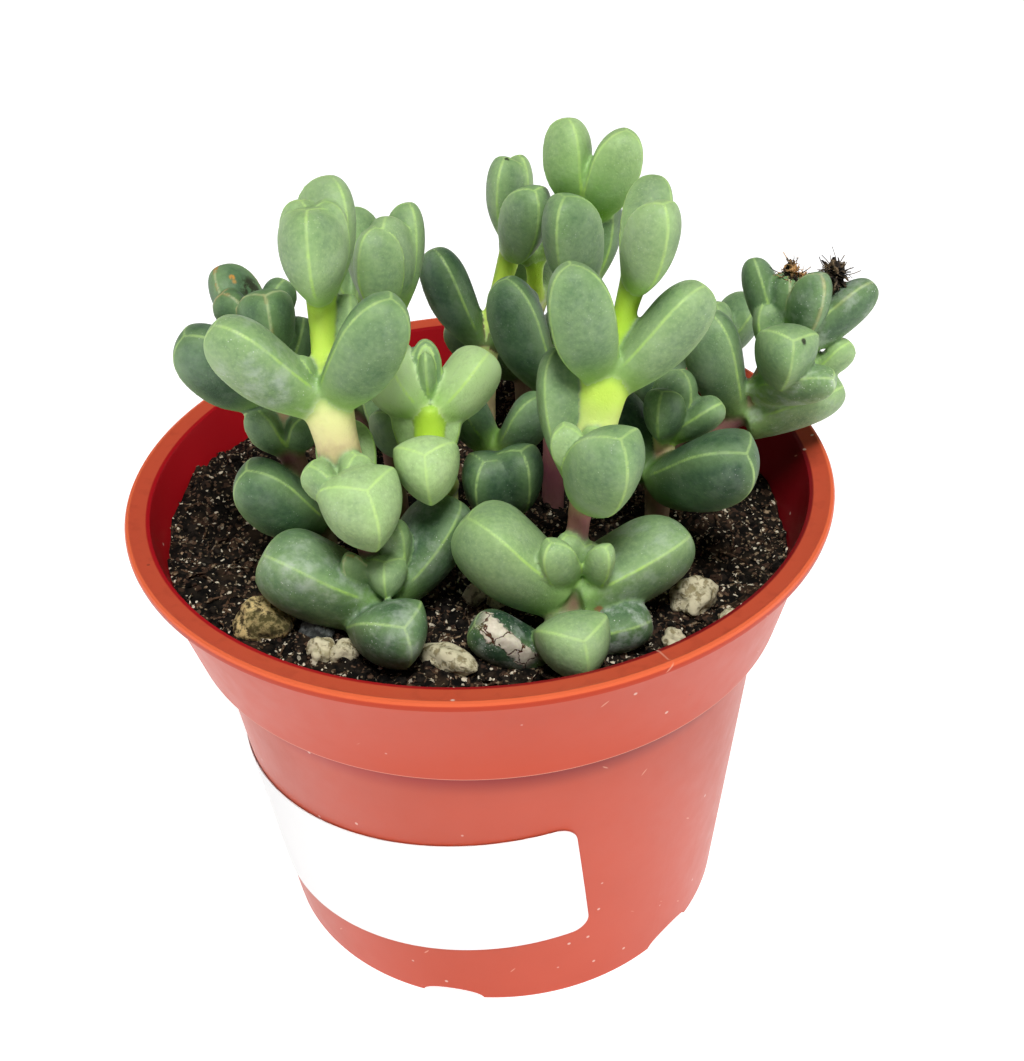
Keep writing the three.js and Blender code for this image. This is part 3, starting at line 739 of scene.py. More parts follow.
def spotted(m, green, edge, chalk, cork, rust):
    """White specks, rusty streaks along the edges, and the stains that stand in the list."""
    specks = m.cells(1.9).step(0.2, 0.1) * m.noise(0.25, 1.0).step(0.5, 0.62) * (0.12 + chalk).clamp()
    peeling = cork * m.cells(2.4).step(0.3, 0.14) * m.noise(0.4, 2.0).step(0.4, 0.55) * 0.6
    green = m.mix(specks.greater(peeling), green, (0.78, 0.82, 0.74))
    streak = rust * m.noise(0.4, 3.0, 0.6).step(0.46, 0.56) * edge.step(0.5, 0.2)
    green = m.mix(streak * 0.85, green, (0.45, 0.2, 0.04))
    for centre, reach, stain in STAINS:
        ragged = m.spot(centre, reach) * m.noise(1.1, 3.0).step(0.36, 0.5)
        green = m.mix(ragged * 0.9, green, stain)
    return green


def corky_scar(m, cork):
    """A ragged band along one leaf, and the cracks that split it into plates."""
    ragged = (m.noise(0.6, 4.0, 0.6) - 0.5) * 2.6
    band = (m.along(SCAR_ACROSS) - SCAR_AT + ragged).absolute().step(SCAR_HALF + 0.15, SCAR_HALF - 0.15)
    down = m.along(SCAR_ALONG)
    ends = down.step(-52.0, -51.0) * down.step(-42.0, -43.4)
    cracks = m.cells(0.36, "DISTANCE_TO_EDGE", m.torn(0.7, 2.2)).step(0.05, 0.015)
    return cork * band * ends, cracks


def stalk_colour(m, age, rise):
    """Lime, cream, purple and brown from the top down, blotched, with a pale ring above each young joint."""
    stalk = m.ramp(STALK, age)
    stalk = m.mix(m.noise(0.3, 3.0).step(0.45, 0.7) * age.step(0.3, 0.5) * 0.6, stalk, (0.3, 0.14, 0.12))
    return m.mix(rise.step(0.12, 0.02) * age.step(0.6, 0.4) * 0.5, stalk, (0.95, 0.96, 0.75))


def flesh():
    """Leaf and stem: a waxy green under a pale bloom, lime at the joints, a pale line on each edge."""
    m = Shader("leaf_flesh", Specular_IOR_Level=0.35, Subsurface_Weight=0.1, Subsurface_Scale=1.0)
    m.shader.inputs["Subsurface Radius"].default_value = (0.5 * MM, 0.9 * MM, 0.3 * MM)
    edge, along, stem = m.parts(m.attribute("edge"))
    age, tone, rise = m.parts(m.attribute("tint"))
    chalk, cork, rust = m.parts(m.attribute("wear"))
    grain = m.noise(1.5, 3.0)
    green = skin_colour(m, grain, along, age, tone)
    green = edge_colour(m, green, edge, along, tone, rust)
    dusty = chalky_dust(m, chalk)
    green = m.mix(dusty, green, (0.62, 0.68, 0.62))
    green = spotted(m, green, edge, chalk, cork, rust)
    scar, cracks = corky_scar(m, cork)
    plates = m.mix(grain, (0.5, 0.42, 0.3), (0.95, 0.88, 0.74))
    green = m.mix(scar, green, m.mix(cracks, plates, (0.1, 0.04, 0.02)))
    m.link("Base Color", m.mix(stem, green, stalk_colour(m, age, rise)))
    m.link("Roughness", 0.42 + 0.2 * grain + 0.2 * dusty)
    pores = m.cells(2.4).step(0.0, 0.45)
    relief = pores * 0.5 + m.noise(4.5, 2.0) * 0.7 + grain * 1.2 + scar * (1.0 - cracks) * 3.0
    m.link("Normal", m.bump(relief, 0.07, 0.75))
    return m.material


def raw_shoot(name, joints):
    """A shoot's leaves and stems, overlapping, with the marks that colour them."""
    raw = Raw()
    shades = random.Random(name)
    tones = TONES[name]
    youth = STEM_AGES.get(name, 1)
    top = sum(thick > 0 for _, thick, _ in joints) - 1
    for k, (point, thick, leaves) in enumerate(joints):
        axis = np.array((0.0, 0.0, 1.0))
        age = 1 - k / top if thick > 0 else BUD_AGE
        if thick > 0 and k > 0:
            before = joints[k - 1][0]
            axis = unit(axis + FOLLOW * unit(point - before))
            raw.add_stem(before, point, thick, youth * (1 - (k - 1) / top), youth * age)
        for n, sizes in enumerate(leaves):
            this = (name, k, n)
            tone = LEAF_TONES.get(this, tones[min(k, len(tones) - 1)]) + shades.uniform(-0.04, 0.04)
            leaf_age = FRESH_AGE if this in FRESH else age
            raw.add_leaf(point, axis, *sizes, leaf_age, tone, WEAR.get(this, LEAST_WEAR))
    return raw


def grow(name, joints, group, material):
    source = raw_shoot(name, joints).made(name + "_raw")
    joined = source.copy()
    joined.data = source.data.copy()
    bpy.context.scene.collection.objects.link(joined)
    remesh = joined.modifiers.new("join", "REMESH")
    remesh.mode = "VOXEL"
    remesh.voxel_size = (HIDDEN_VOXEL if name in HIDDEN else VOXEL) * MM
    remesh.use_smooth_shade = True
    marks = joined.modifiers.new("marks", "NODES")
    marks.node_group = group
    marks[socket_name(group, "Raw leaves")] = source
    shoot = baked(joined, "leafy_" + name)
    bpy.data.objects.remove(source)
    shoot.data.materials.clear()
    shoot.data.materials.append(material)
    keep(shoot, "leaf", name)


# The pot, in mm

POT_AROUND = 180
STEP, RIM_TOP, LIP_RADIUS, MEAN_RADIUS = 56.2, 76.0, 52.5, 45.0
BASE_RADIUS, BODY_TOP_RADIUS = 36.9, 43.1

# The skirt's inner wall: its radius at the ledge, how fast it widens, and the ledge's height.
SKIRT_FOOT, SKIRT_SLOPE, LEDGE = 44.8, 0.211, 57.3

# Round holes in the floor, and arches in the foot.
DRAINS, DRAIN_TURN = 6, 15
HOLE_RADIUS, HOLE_RING = 3.2, 30
ARCH_RADIUS, ARCH_SHARE = 5, 0.44


def skirt_inside(z):
    """The radius of the skirt's inner wall at a height, which may be a number or a field."""
    return z * SKIRT_SLOPE + (SKIRT_FOOT - SKIRT_SLOPE * LEDGE)


def pot_profile():
    """Radius and height from the middle of the underside, up the outside and down the inside to the floor."""
    return [
        (0, 0),
        (12.6, 0),
        (13, 0.3),
        (14, 2),
        (33.5, 2),
        (34.4, 0.2),
        (34.7, 0),
        (36.6, 0),
        (36.9, 0.3),
        (43.05, 55.8),
        (43.3, 56.2),
        (45.6, 56.6),
        (45.95, 56.9),
        (50.45, 74.0),
        (50.7, 74.3),
        (52.1, 74.5),
        (52.4, 74.7),
        (52.5, 75.1),
        (52.5, 75.6),
        (52.3, 75.9),
        (51.9, 76.0),
        (51.3, 75.8),
        (49.4, 75.75),
        (48.9, 75.65),
        (48.7, 75.3),
        (44.85, 57.6),
        (44.5, 57.2),
        (42.3, 56.2),
        (42.0, 55.8),
        (36.15, 3.5),
        (35.8, 3.2),
        (13, 3.2),
        (12, 1.2),
        (0, 1.2),
    ]


def lathe(profile, around):
    """A closed skin turned about the pot's axis, in mm."""
    angles = np.arange(around) / around * 2 * math.pi
    points = [(0, 0, profile[0][1])]
    for radius, z in profile[1:-1]:
        points += [(radius * math.cos(a), radius * math.sin(a), z) for a in angles]
    points.append((0, 0, profile[-1][1]))
    rows = len(profile) - 2
    faces = [(0, 1 + (k + 1) % around, 1 + k) for k in range(around)]
    faces += ring_faces(rows, around, 1)
    end = 1 + (rows - 1) * around
    faces += [(end + k, end + (k + 1) % around, len(points) - 1) for k in range(around)]
    return np.array(points), faces


def plastic_colour(m, x, y, z):
    """Orange red, brighter above the step and on the rim, with painted shade inside and on the lip, and
    painted highlights.
    """
    radius = (x * x + y * y).power(0.5)
    colour = m.mix(m.noise(0.03, 3.0).step(0.3, 0.7), (0.54, 0.07, 0.03), (0.6, 0.086, 0.042))
    colour = m.mix(z.step(STEP - 1.2, STEP + 1.8) * 0.5, colour, (0.6, 0.05, 0.006))
    smudge = m.noise(0.45, 4.0).step(0.5, 0.7) * 0.3
    rim = m.mix(smudge, (0.54, 0.078, 0.036), (0.38, 0.052, 0.026))
    colour = m.mix(z.step(RIM_TOP - 0.5, RIM_TOP - 0.3), colour, rim)
    # Painted shade: the skirt's inner wall is a deep red, darker on the right side than on the left.
    wall = (radius - skirt_inside(z)).step(0.9, 0.6) * z.step(50.0, 55.0)
    inside = m.mix(x.step(30.0, -30.0), (0.17, 0.002, 0.007), (0.36, 0.003, 0.009))
    colour = m.mix(wall * 0.97, colour, inside)
    # Painted shade: a dark band round the outer face of the rim's lip.
    painted_lip_shade = z.step(RIM_TOP - 1.4, RIM_TOP - 1.1) * z.step(RIM_TOP - 0.4, RIM_TOP - 0.7)
    painted_lip_shade = painted_lip_shade * radius.step(LIP_RADIUS - 0.3, LIP_RADIUS - 0.1)
    colour = m.mix(painted_lip_shade * 0.6, colour, (0.45, 0.035, 0.01))
    # Painted highlight: a bright line along the outer edge of the rim's top.
    painted_lip_highlight = radius.step(LIP_RADIUS - 0.8, LIP_RADIUS - 0.5) * z.step(RIM_TOP - 0.5, RIM_TOP - 0.3)
    colour = m.mix(painted_lip_highlight * 0.7, colour, (0.84, 0.16, 0.06))
    # Painted highlight: a pale line along the step's edge, just under the skirt.
    painted_step_highlight = z.step(STEP + 0.3, STEP + 0.5) * z.step(STEP + 0.9, STEP + 0.7)
    return m.mix(painted_step_highlight * 0.8, colour, (0.85, 0.42, 0.3))


def scuffed(m, colour, x, y, z):
    """Pale scuffs that lie slantwise, longer than wide, and dots of pale and dark dust."""
    across = m.around(x, y) * MEAN_RADIUS
    for tilt, scale in ((1.0, 0.5), (-0.8, 0.65)):
        slanted = m.whole((across + z * tilt) * 0.16 * scale, (z - across * tilt) * 0.85 * scale, 0.0)
        cell = m.make("ShaderNodeTexVoronoi", None, {"Vector": slanted, "Scale": 1.0})
        chosen = m.parts(cell.other("Color"))[0].step(0.93, 0.95)
        colour = m.mix(cell.step(0.1, 0.05) * chosen * 0.5, colour, (0.86, 0.5, 0.36))
    pale = m.cells(0.2).step(0.07, 0.035)
    colour = m.mix(pale * 0.6, colour, (0.88, 0.72, 0.62))
    elsewhere = m.make("ShaderNodeVectorMath", {"operation": "ADD"}, {0: m.place, 1: (1, 2, 3)})
    dark = m.cells(0.11, place=elsewhere).step(0.035, 0.02)
    return m.mix(dark * 0.7, colour, (0.2, 0.04, 0.02))


def plastic():
    """Moulded plastic: satin, with dust and short pale scuffs."""
    m = Shader("pot_plastic", Specular_IOR_Level=0.14)
    x, y, z = (part / MM for part in m.parts(m.place))
    m.link("Base Color", scuffed(m, plastic_colour(m, x, y, z), x, y, z))
    worn = m.noise(0.35, 4.0)
    m.link("Roughness", 0.27 + 0.12 * worn)
    m.link("Normal", m.bump(worn, 0.015, 0.5))
    return m.material


def cut(target, points, faces):
    tool = mesh_object("cutter", points, faces)
    change = target.modifiers.new("cut", "BOOLEAN")
    change.operation = "DIFFERENCE"
    change.solver = "EXACT"
    change.object = tool
    return tool


def turned(degrees):
    """What turns rows of points about the pot's axis."""
    c, s = math.cos(math.radians(degrees)), math.sin(math.radians(degrees))
    return np.array(((c, s, 0), (-s, c, 0), (0, 0, 1)))


def build_pot():
    points, faces = lathe(pot_profile(), POT_AROUND)
    pot = mesh_object("pot_shell", points * MM, faces)
    hole, hole_faces = lathe([(0, -2), (HOLE_RADIUS, -2), (HOLE_RADIUS, 5), (0, 5)], 24)
    arch, arch_faces = lathe([(0, -4), (ARCH_RADIUS, -4), (ARCH_RADIUS, 4), (0, 4)], 28)
    arch = arch[:, (2, 0, 1)] * (1, 1, ARCH_SHARE)
    tools = []
    for k in range(DRAINS):
        turn = turned(DRAIN_TURN + 360 / DRAINS * k)
        tools.append(cut(pot, (hole + (HOLE_RING, 0, 0)) @ turn * MM, hole_faces))
        tools.append(cut(pot, (arch + (BASE_RADIUS, 0, 0)) @ turn * MM, arch_faces))
    pot = baked(pot, "nursery_pot")
    for tool in tools:
        bpy.data.objects.remove(tool)
    pot.data.materials.append(plastic())
    pot.data.polygons.foreach_set("use_smooth", [True] * len(pot.data.polygons))
    pot.data.set_sharp_from_angle(angle=math.radians(32))
    keep(pot, "pot", "pot")


# The label, stuck round the body a little askew, in mm

LABEL_WIDTH, LABEL_HEIGHT, LABEL_CORNER = 66.7, 25.4, 3.0
LABEL_THICK, LABEL_AIR = 0.16, 0.08
LABEL_ANGLE, LABEL_Z, LABEL_ASKEW = math.radians(-121.5), 24.8, math.radians(6.5)


def body_radius(z):
    return BASE_RADIUS + (BODY_TOP_RADIUS - BASE_RADIUS) * z / STEP


def label_points(columns, rows):
    """Two layers of points, the inner first; columns crowd towards the round corners, and one end lifts."""
    reach = LABEL_WIDTH / 2
    points = []
    for lift in (LABEL_AIR, LABEL_AIR + LABEL_THICK):
        for k in range(columns + 1):
            u = reach * math.sin((k / columns - 0.5) * math.pi)
            inside = max(0.0, abs(u) - (reach - LABEL_CORNER))
            half = LABEL_HEIGHT / 2 - LABEL_CORNER + math.sqrt(max(0.0, LABEL_CORNER**2 - inside**2))
            curl = 2.0 * max(0.0, -u / reach - 0.9)
            for j in range(rows + 1):
                v = half * (2 * j / rows - 1)
                z = LABEL_Z + u * math.sin(LABEL_ASKEW) + v * math.cos(LABEL_ASKEW)
                across = u * math.cos(LABEL_ASKEW) - v * math.sin(LABEL_ASKEW)
                angle = LABEL_ANGLE + across / body_radius(LABEL_Z)
                radius = body_radius(z) + lift + curl
                points.append((radius * math.cos(angle), radius * math.sin(angle), z))
    return np.array(points)


def build_label(columns=96, rows=20):
    side = rows + 1
    sheet = (columns + 1) * side
    faces = []
    for k in range(columns):
        for j in range(rows):
            a = k * side + j
            faces.append((a + 1, a + side + 1, a + side, a))
            faces.append((sheet + a, sheet + a + side, sheet + a + side + 1, sheet + a + 1))
    rim = [k * side for k in range(columns + 1)]
    rim += [columns * side + j for j in range(1, side)]
    rim += [k * side + rows for k in range(columns - 1, -1, -1)]
    rim += [j for j in range(rows - 1, 0, -1)]
    for k, a in enumerate(rim):
        b = rim[(k + 1) % len(rim)]
        faces.append((a, b, sheet + b, sheet + a))
    m = Shader("label_paper", Roughness=0.55)
    m.link("Base Color", m.mix(m.noise(0.05, 3.0).step(0.3, 0.7), (0.93, 0.93, 0.93), (0.97, 0.97, 0.965)))
    m.link("Normal", m.bump(m.noise(0.25, 3.0), 0.03, 0.4))
    label = mesh_object("paper_label", label_points(columns, rows) * MM, faces, m.material)
    label.data.set_sharp_from_angle(angle=math.radians(40))
    keep(label, "label", "label")


# The mix and what lies in it, in mm

SOIL_LEVEL, SOIL_SLOPE, SOIL_LUMP = 67.2, -0.05, 0.6
BED_AROUND, BED_RINGS, BED_RADIUS = 160, 44, 46.6


def noise_at(place):
    return noise.noise(Vector(place))


def soil_height(x, y):
    lumps = np.sin(x / 5 + 1) * np.cos(y / 4.2) + 0.6 * np.sin(x / 2.9 - y / 3.7)
    return SOIL_LEVEL + SOIL_SLOPE * x + SOIL_LUMP * lumps


# Grains in the mix: cells in a millimetre, how common they are and their colour.
GRAINS = [
    (0.8, 2.2, (0.05, 0.028, 0.018)),
    (1.3, 1.6, (0.11, 0.065, 0.04)),
    (2.0, 1.0, (0.24, 0.18, 0.11)),
    (1.4, 0.8, (0.74, 0.66, 0.5)),
]


def peat(name, dark, light, amount):
    """Dull dry stuff of the mix; amount, from 0 to 1, is how strongly its grains show."""
    m = Shader(name, Roughness=0.9, Specular_IOR_Level=0.12)
    spots = m.noise(0.9, 3.0)
    colour = m.mix(spots.step(0.42, 0.62), dark, light)
    crumbs = m.noise(0.25, 2.0).step(0.55, 0.7)
    colour = m.mix(crumbs * amount, colour, (0.13, 0.075, 0.04))
    torn = m.torn(0.9, 1.6)
    for scale, share, grain in GRAINS:
        cell = m.cells(scale, place=torn)
        chosen = m.parts(cell.other("Color"))[0].step(1.02 - share * amount, 1.04 - share * amount)
        size = m.noise(scale * 0.6, 2.0) * 0.9
        colour = m.mix(chosen * (size - cell).step(0.0, 0.1) * 0.9, colour, grain)
    m.link("Base Color", colour)
    m.link("Normal", m.bump(m.noise(1.2, 4.0), 0.25, 0.9))
    return m.material


def build_bed():
    """The bulk of the mix: a closed body that fills the pot, uneven on top, its edge held to the skirt."""
    profile = [(0, 1.5), (11.7, 1.5), (13, 3.5), (35.6, 3.5), (41.7, 56.1), (44.4, 57.6)]
    under = len(profile) - 1
    profile += [(BED_RADIUS * k / BED_RINGS, 0) for k in range(BED_RINGS, 0, -1)]
    profile.append((0, soil_height(0.0, 0.0)))
    points, faces = lathe(profile, BED_AROUND)
    top = points[1 + under * BED_AROUND :]
    x, y = top[:, 0], top[:, 1]
    coarse = np.array([noise_at((a * 0.45, b * 0.45, 0.3)) for a, b in zip(x, y)])
    fine = np.array([noise_at((a * 1.3, b * 1.3, 5.0)) for a, b in zip(x, y)])
    z = soil_height(x, y) + (0.9 * coarse + 0.45 * fine)
    radius = np.hypot(x, y)
    share = np.where(radius > BED_RADIUS - 0.1, (skirt_inside(z) - 0.1) / np.maximum(radius, 1), 1)
    top[:, 0], top[:, 1], top[:, 2] = x * share, y * share, z
    material = peat("mix_dark", (0.003, 0.0025, 0.002), (0.012, 0.009, 0.006), 0.16)
    bed = mesh_object("mix_bed", points * MM, faces, material)
    keep(bed, "soil", "soil")
    return bed


# The inputs of what is strewn: bits in a square metre, the seed of their places, the least and greatest
# width in mm, thickness as a share of it, and how far the surface wanders in mm.
BIT_SIZES = ("Density", "Seed", "Smallest", "Largest", "Flatness", "Rough")

# Bits come as fibres, or as round lumps divided once or twice.
FIBRE, CRUMB, LUMP = "fibre", 1, 2
WIDTH_SEED, STRETCH_SEED, TURN_SEED = 7, 9, 11


def bit(tree, kind):
    """One fibre or lump, one unit long."""
    if kind != FIBRE:
        return tree.make("GeometryNodeMeshIcoSphere", None, {"Radius": 0.5, "Subdivisions": kind})
    inputs = {"Start": (-0.5, 0, -0.05), "Middle": (0.0, 0.0, 0.16), "End": (0.5, 0, -0.05), "Resolution": 6}
    line = tree.make("GeometryNodeCurveQuadraticBezier", None, inputs)
    circle = tree.make("GeometryNodeCurvePrimitiveCircle", None, {"Resolution": 3, "Radius": 0.03})
    inputs = {"Curve": line, "Profile Curve": circle, "Fill Caps": True}
    return tree.make("GeometryNodeCurveToMesh", None, inputs)


def chance(tree, low, high, seed):
    return tree.make("FunctionNodeRandomValue", {"data_type": "FLOAT"}, {2: low, 3: high, "Seed": seed}, 1)


def scatter_tree(name, material, kind):
    """Strews lumps or bits of fibre over the upward faces of a surface, and keeps them inside the pot."""
    group = bpy.data.node_groups.new(name, "GeometryNodeTree")
    tree = Tree(group)
    group.interface.new_socket("Geometry", in_out="INPUT", socket_type="NodeSocketGeometry")
    for key in BIT_SIZES:
        number = "NodeSocketInt" if key == "Seed" else "NodeSocketFloat"
        group.interface.new_socket(key, in_out="INPUT", socket_type=number)
    group.interface.new_socket("Geometry", in_out="OUTPUT", socket_type="NodeSocketGeometry")
    given = tree.make("NodeGroupInput")
    density, seed, smallest, largest, flatness, rough = (given.other(key) for key in BIT_SIZES)
    upward = tree.parts(tree.make("GeometryNodeInputNormal"))[2].step(0.39, 0.4)
    high = tree.parts(tree.make("GeometryNodeInputPosition"))[2].step(0.0599, 0.06)
    inputs = {"Mesh": given, "Selection": upward * high, "Density": density, "Seed": seed}
    spots = tree.make("GeometryNodeDistributePointsOnFaces", None, inputs)
    big = (smallest + (largest - smallest) * chance(tree, 0.0, 1.0, WIDTH_SEED).power(3.0)) * MM
    scale = tree.whole(big * chance(tree, 0.6, 1.4, STRETCH_SEED), big, big * flatness)
    lean = {0: (-0.5, -0.5, 0.0), 1: (0.5, 0.5, 6.28), "Seed": TURN_SEED}
    turn = tree.make("FunctionNodeRandomValue", {"data_type": "FLOAT_VECTOR"}, lean)
    inputs = {"Points": spots, "Instance": bit(tree, kind), "Rotation": turn, "Scale": scale}
    copies = tree.make("GeometryNodeInstanceOnPoints", None, inputs)
    real = tree.make("GeometryNodeRealizeInstances", None, {"Geometry": copies})
    wave = tree.make("ShaderNodeTexNoise", None, {"Scale": 900.0, "Detail": 1.0}, "Color")
    away = tree.make("ShaderNodeVectorMath", {"operation": "SUBTRACT"}, {0: wave, 1: (0.5, 0.5, 0.5)})
    away = tree.make("ShaderNodeVectorMath", {"operation": "SCALE"}, {0: away, "Scale": rough * (2 * MM)})
    moved = tree.make("GeometryNodeSetPosition", None, {"Geometry": real, "Offset": away})
    x, y, z = tree.parts(tree.make("GeometryNodeInputPosition"))
    room = (skirt_inside(z / MM) - 0.15) * MM
    share = (room / (x * x + y * y).power(0.5)).lesser(1.0)
    inputs = {"Geometry": moved, "Position": tree.whole(x * share, y * share, z)}
    moved = tree.make("GeometryNodeSetPosition", None, inputs)
    painted = tree.make("GeometryNodeSetMaterial", None, {"Geometry": moved, "Material": material})
    tree.make("NodeGroupOutput", None, {"Geometry": painted})
    return group


def strew(bed, name, slot, material, kind, sizes):
    copy = bed.copy()
    copy.data = bed.data.copy()
    bpy.context.scene.collection.objects.link(copy)
    group = scatter_tree(name, material, kind)
    change = copy.modifiers.new("strew", "NODES")
    change.node_group = group
    for key, value in zip(BIT_SIZES, sizes):
        change[socket_name(group, key)] = value
    keep(baked(copy, name), slot)


def build_mix():
    bed = build_bed()
    crumb = peat("crumb_dark", (0.003, 0.0025, 0.002), (0.02, 0.015, 0.011), 0.16)
    bark = peat("bark_brown", (0.01, 0.006, 0.004), (0.1, 0.055, 0.03), 0.4)
    straw = peat("fibre_straw", (0.06, 0.035, 0.02), (0.36, 0.26, 0.16), 0.2)
    speck = peat("speck_cream", (0.16, 0.13, 0.08), (0.6, 0.54, 0.4), 0.3)
    strew(bed, "mix_crumbs", "soil", crumb, CRUMB, (360000.0, 1, 0.5, 2.0, 0.8, 0.35))
    strew(bed, "mix_lumps", "soil", crumb, LUMP, (50000.0, 12, 1.0, 3.2, 0.7, 0.8))
    strew(bed, "mix_bark", "soil", bark, LUMP, (26000.0, 2, 0.8, 3.4, 0.35, 0.5))
    strew(bed, "mix_fibres", "soil", bark, FIBRE, (50000.0, 3, 2.0, 7.0, 1.5, 0.9))
    strew(bed, "mix_straws", "soil", straw, FIBRE, (16000.0, 6, 1.0, 5.0, 1.5, 0.9))
    strew(bed, "mix_flecks", "soil", straw, CRUMB, (240000.0, 5, 0.15, 1.1, 0.6, 0.3))
    strew(bed, "mix_specks", "perlite", speck, CRUMB, (60000.0, 4, 0.2, 1.3, 0.8, 0.25))


# Each stone's middle, its half lengths and its turn in degrees.
STONES = {
    "stone_brown": (-31.0, -25.4, 69.0, 3.7, 3.5, 3.4, 20),
    "perlite_left_rear": (-29.5, -3, 69.6, 1.6, 1.4, 1.3, 60),
    "perlite_left": (-22.8, -31.9, 68.9, 1.6, 1.6, 1.6, 10),
    "perlite_left_twin": (-19.6, -32.4, 68.8, 1.5, 1.7, 1.7, 80),
    "perlite_front": (-5.9, -34.8, 68.3, 3.9, 1.8, 2.0, -32),
    "perlite_right": (29, -23.2, 66.9, 3.1, 2.7, 2.6, 35),
    "perlite_right_small": (25.1, -31, 66.3, 1.4, 1.3, 1.2, 0),
    "perlite_right_chip": (33.5, -27, 65.9, 1.4, 1.2, 1.2, 50),
}

# Small stones that the solid model leaves out.
PEBBLES = {
    "pebble_behind": (-1.3, -19.8, 67.6, 1.8, 1.4, 1.4, 30),
    "pebble_beside": (1.4, -22.2, 67.6, 1.3, 1.2, 1.2, 0),
    "pebble_grey": (-23.6, -27.6, 69.0, 2.1, 1.6, 1.5, -20),
}
STONE_LUMPS, STONE_PITS, STONE_SWELL, STONE_LIFT = 0.34, 0.07, 1.12, 0.4


def pale_stone():
    m = Shader("perlite_grain", Roughness=0.85)
    pits = m.noise(0.9, 4.0, 0.6).step(0.38, 0.52)
    dirt = m.noise(0.5, 3.0).step(0.52, 0.7)
    colour = m.mix(pits, (0.3, 0.25, 0.13), (0.66, 0.6, 0.4))
    colour = m.mix(dirt * 0.6, colour, (0.2, 0.17, 0.06))
    m.link("Base Color", colour)
    m.link("Normal", m.bump(pits + m.noise(1.5, 3.0), 0.16, 0.8))
    return m.material


def rough_stone(name, dark, light, moss):
    m = Shader(name, Roughness=0.85)
    spots = m.noise(0.9, 5.0, 0.7)
    colour = m.mix(spots.step(0.42, 0.58), dark, light)
    colour = m.mix(m.noise(0.3, 3.0).step(0.48, 0.62) * 0.6, colour, moss)
    m.link("Base Color", colour)
    m.link("Normal", m.bump(spots, 0.8, 1.0))
    return m.material


def stone_points(ball, x, y, z, a, b, c, turn):
    """A round mesh's points, made lumpy and rough, stretched, turned and set in place."""
    points = np.empty(len(ball.vertices) * 3)
    ball.vertices.foreach_get("co", points)
    points = points.reshape(-1, 3)
    lumps = np.array([noise_at(p * 1.3 + (x, y, 0)) for p in points])
    pits = np.array([noise.fractal(Vector(p * 3.5 + (x, y, 0)), 1.0, 2.0, 4) for p in points])
    points = points * (1 + STONE_LUMPS * lumps + STONE_PITS * pits)[:, None] * (a, b, c) * STONE_SWELL
    return points @ turned(turn) + (x, y, z + STONE_LIFT)


def build_stones():
    pale = pale_stone()
    mossy = rough_stone("mossy_stone", (0.06, 0.04, 0.012), (0.78, 0.6, 0.26), (0.1, 0.09, 0.02))
    grey = rough_stone("grey_stone", (0.03, 0.035, 0.035), (0.14, 0.15, 0.14), (0.05, 0.06, 0.05))
    coats = {"stone_brown": mossy, "pebble_grey": grey}
    for name, sizes in {**STONES, **PEBBLES}.items():
        bpy.ops.mesh.primitive_ico_sphere_add(subdivisions=4, radius=1)
        stone = bpy.context.object
        stone.name = "grain_" + name
        stone.data.vertices.foreach_set("co", (stone_points(stone.data, *sizes) * MM).ravel())
        stone.data.update()
        stone.data.polygons.foreach_set("use_smooth", [True] * len(stone.data.polygons))
        stone.data.materials.append(coats.get(name, pale))
        slot = "stone" if name in coats else "perlite"
        keep(stone, slot, *([name] if name in STONES else []))


# Each withered flower's foot, and its heads with their places and sizes.
BLOOMS = {
    "bloom_right": ((51, 3, 98), [(52.2, 3.2, 102.9, 2.8), (49.3, 2.6, 101.2, 1.9), (53.4, 3, 99.8, 1.8)]),
    "bloom_middle": ((46, 4.2, 102), [(46.2, 3.6, 103.1, 2.3), (48, 3.4, 101.8, 1.7)]),
}
BLOOM_STALK = 1.4
PETALS_PER_MM = 75
BRISTLES = 0.15  # the share of the petals that have dried to a bristle


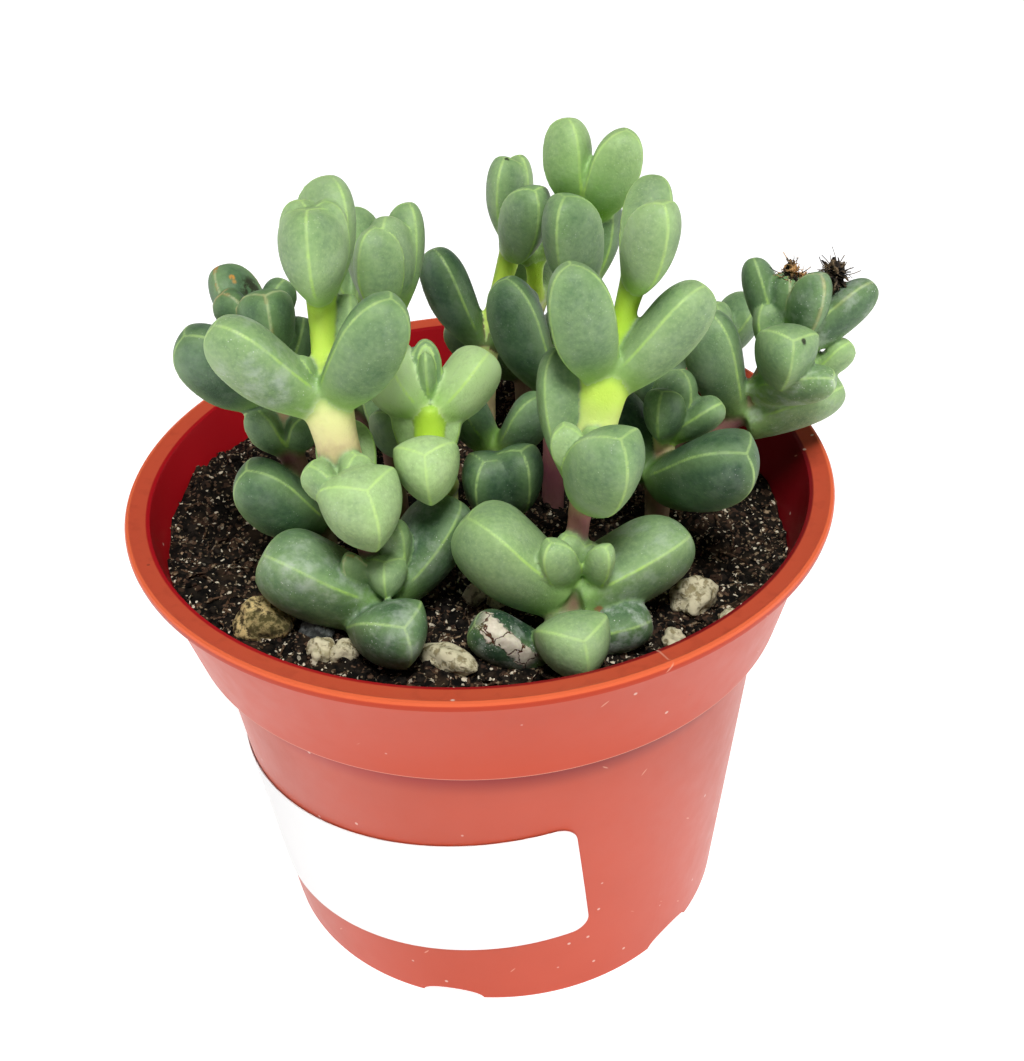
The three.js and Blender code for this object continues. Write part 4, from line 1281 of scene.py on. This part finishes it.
def withered_petal():
    m = Shader("withered_petal", Roughness=0.85)
    papery = m.parts(m.place)[0].step(0.0495, 0.0485)
    dry = m.mix(papery, (0.17, 0.115, 0.06), (0.6, 0.34, 0.13))
    m.link("Base Color", m.mix(m.noise(0.7, 3.0).step(0.4, 0.62), (0.012, 0.007, 0.004), dry))
    m.link("Normal", m.bump(m.noise(2.0, 3.0), 0.1, 0.8))
    return m.material


def petal_rings(rand, head, size):
    """Rings of four points along one curled petal or bristle."""
    heading = rand.uniform(0, 2 * math.pi)
    rise = rand.uniform(-0.9, 1.5)
    along = np.array((math.cos(heading) * math.cos(rise), math.sin(heading) * math.cos(rise), math.sin(rise)))
    side = unit(np.cross(along, (0.1, 0.2, 1)))
    up = np.cross(side, along)
    start = head + along * size * rand.uniform(0.0, 0.5)
    bristle = rand.random() < BRISTLES
    length = size * (rand.uniform(0.6, 1.1) if bristle else rand.uniform(0.25, 0.6))
    wide = size * (0.04 if bristle else rand.uniform(0.1, 0.28))
    curl = rand.uniform(-1.2, 1.2)
    rings = []
    for s in (0.0, 0.25, 0.5, 0.75, 1.0):
        middle = start + along * length * s + up * curl * s * s + side * 0.3 * math.sin(3 * s + curl * 4)
        across, thick = side * (wide * (1 - 0.7 * s)), up * 0.07
        rings.append(np.array([middle + across, middle + thick, middle - across, middle - thick]))
    return rings


def build_blooms():
    """Withered flower heads: a short stalk under a dense bunch of curled dry petals."""
    material = withered_petal()
    for name, (foot, heads) in BLOOMS.items():
        rand = random.Random(name)
        raw = Raw()
        raw.add_stem(np.array(foot, float), np.array(heads[0][:3]), BLOOM_STALK, 0, 0, around=12, rows=5)
        for *head, size in heads:
            for _ in range(int(PETALS_PER_MM * size)):
                rings = petal_rings(rand, np.array(head), size)
                marks = [(0, 0, 0)] * (4 * len(rings) + 2)
                raw.add(rings, rings[0].mean(axis=0), rings[-1].mean(axis=0), marks, marks)
        made = mesh_object("withered_" + name, np.array(raw.points) * MM, raw.faces, material)
        keep(made, "withered", name)


def build_plant():
    material = flesh()
    group = skin_tree()
    for name, joints in SHOOTS.items():
        grow(name, joints, group, material)


set_camera()
set_stage()
build_pot()
build_label()
build_mix()
build_stones()
build_blooms()
build_plant()
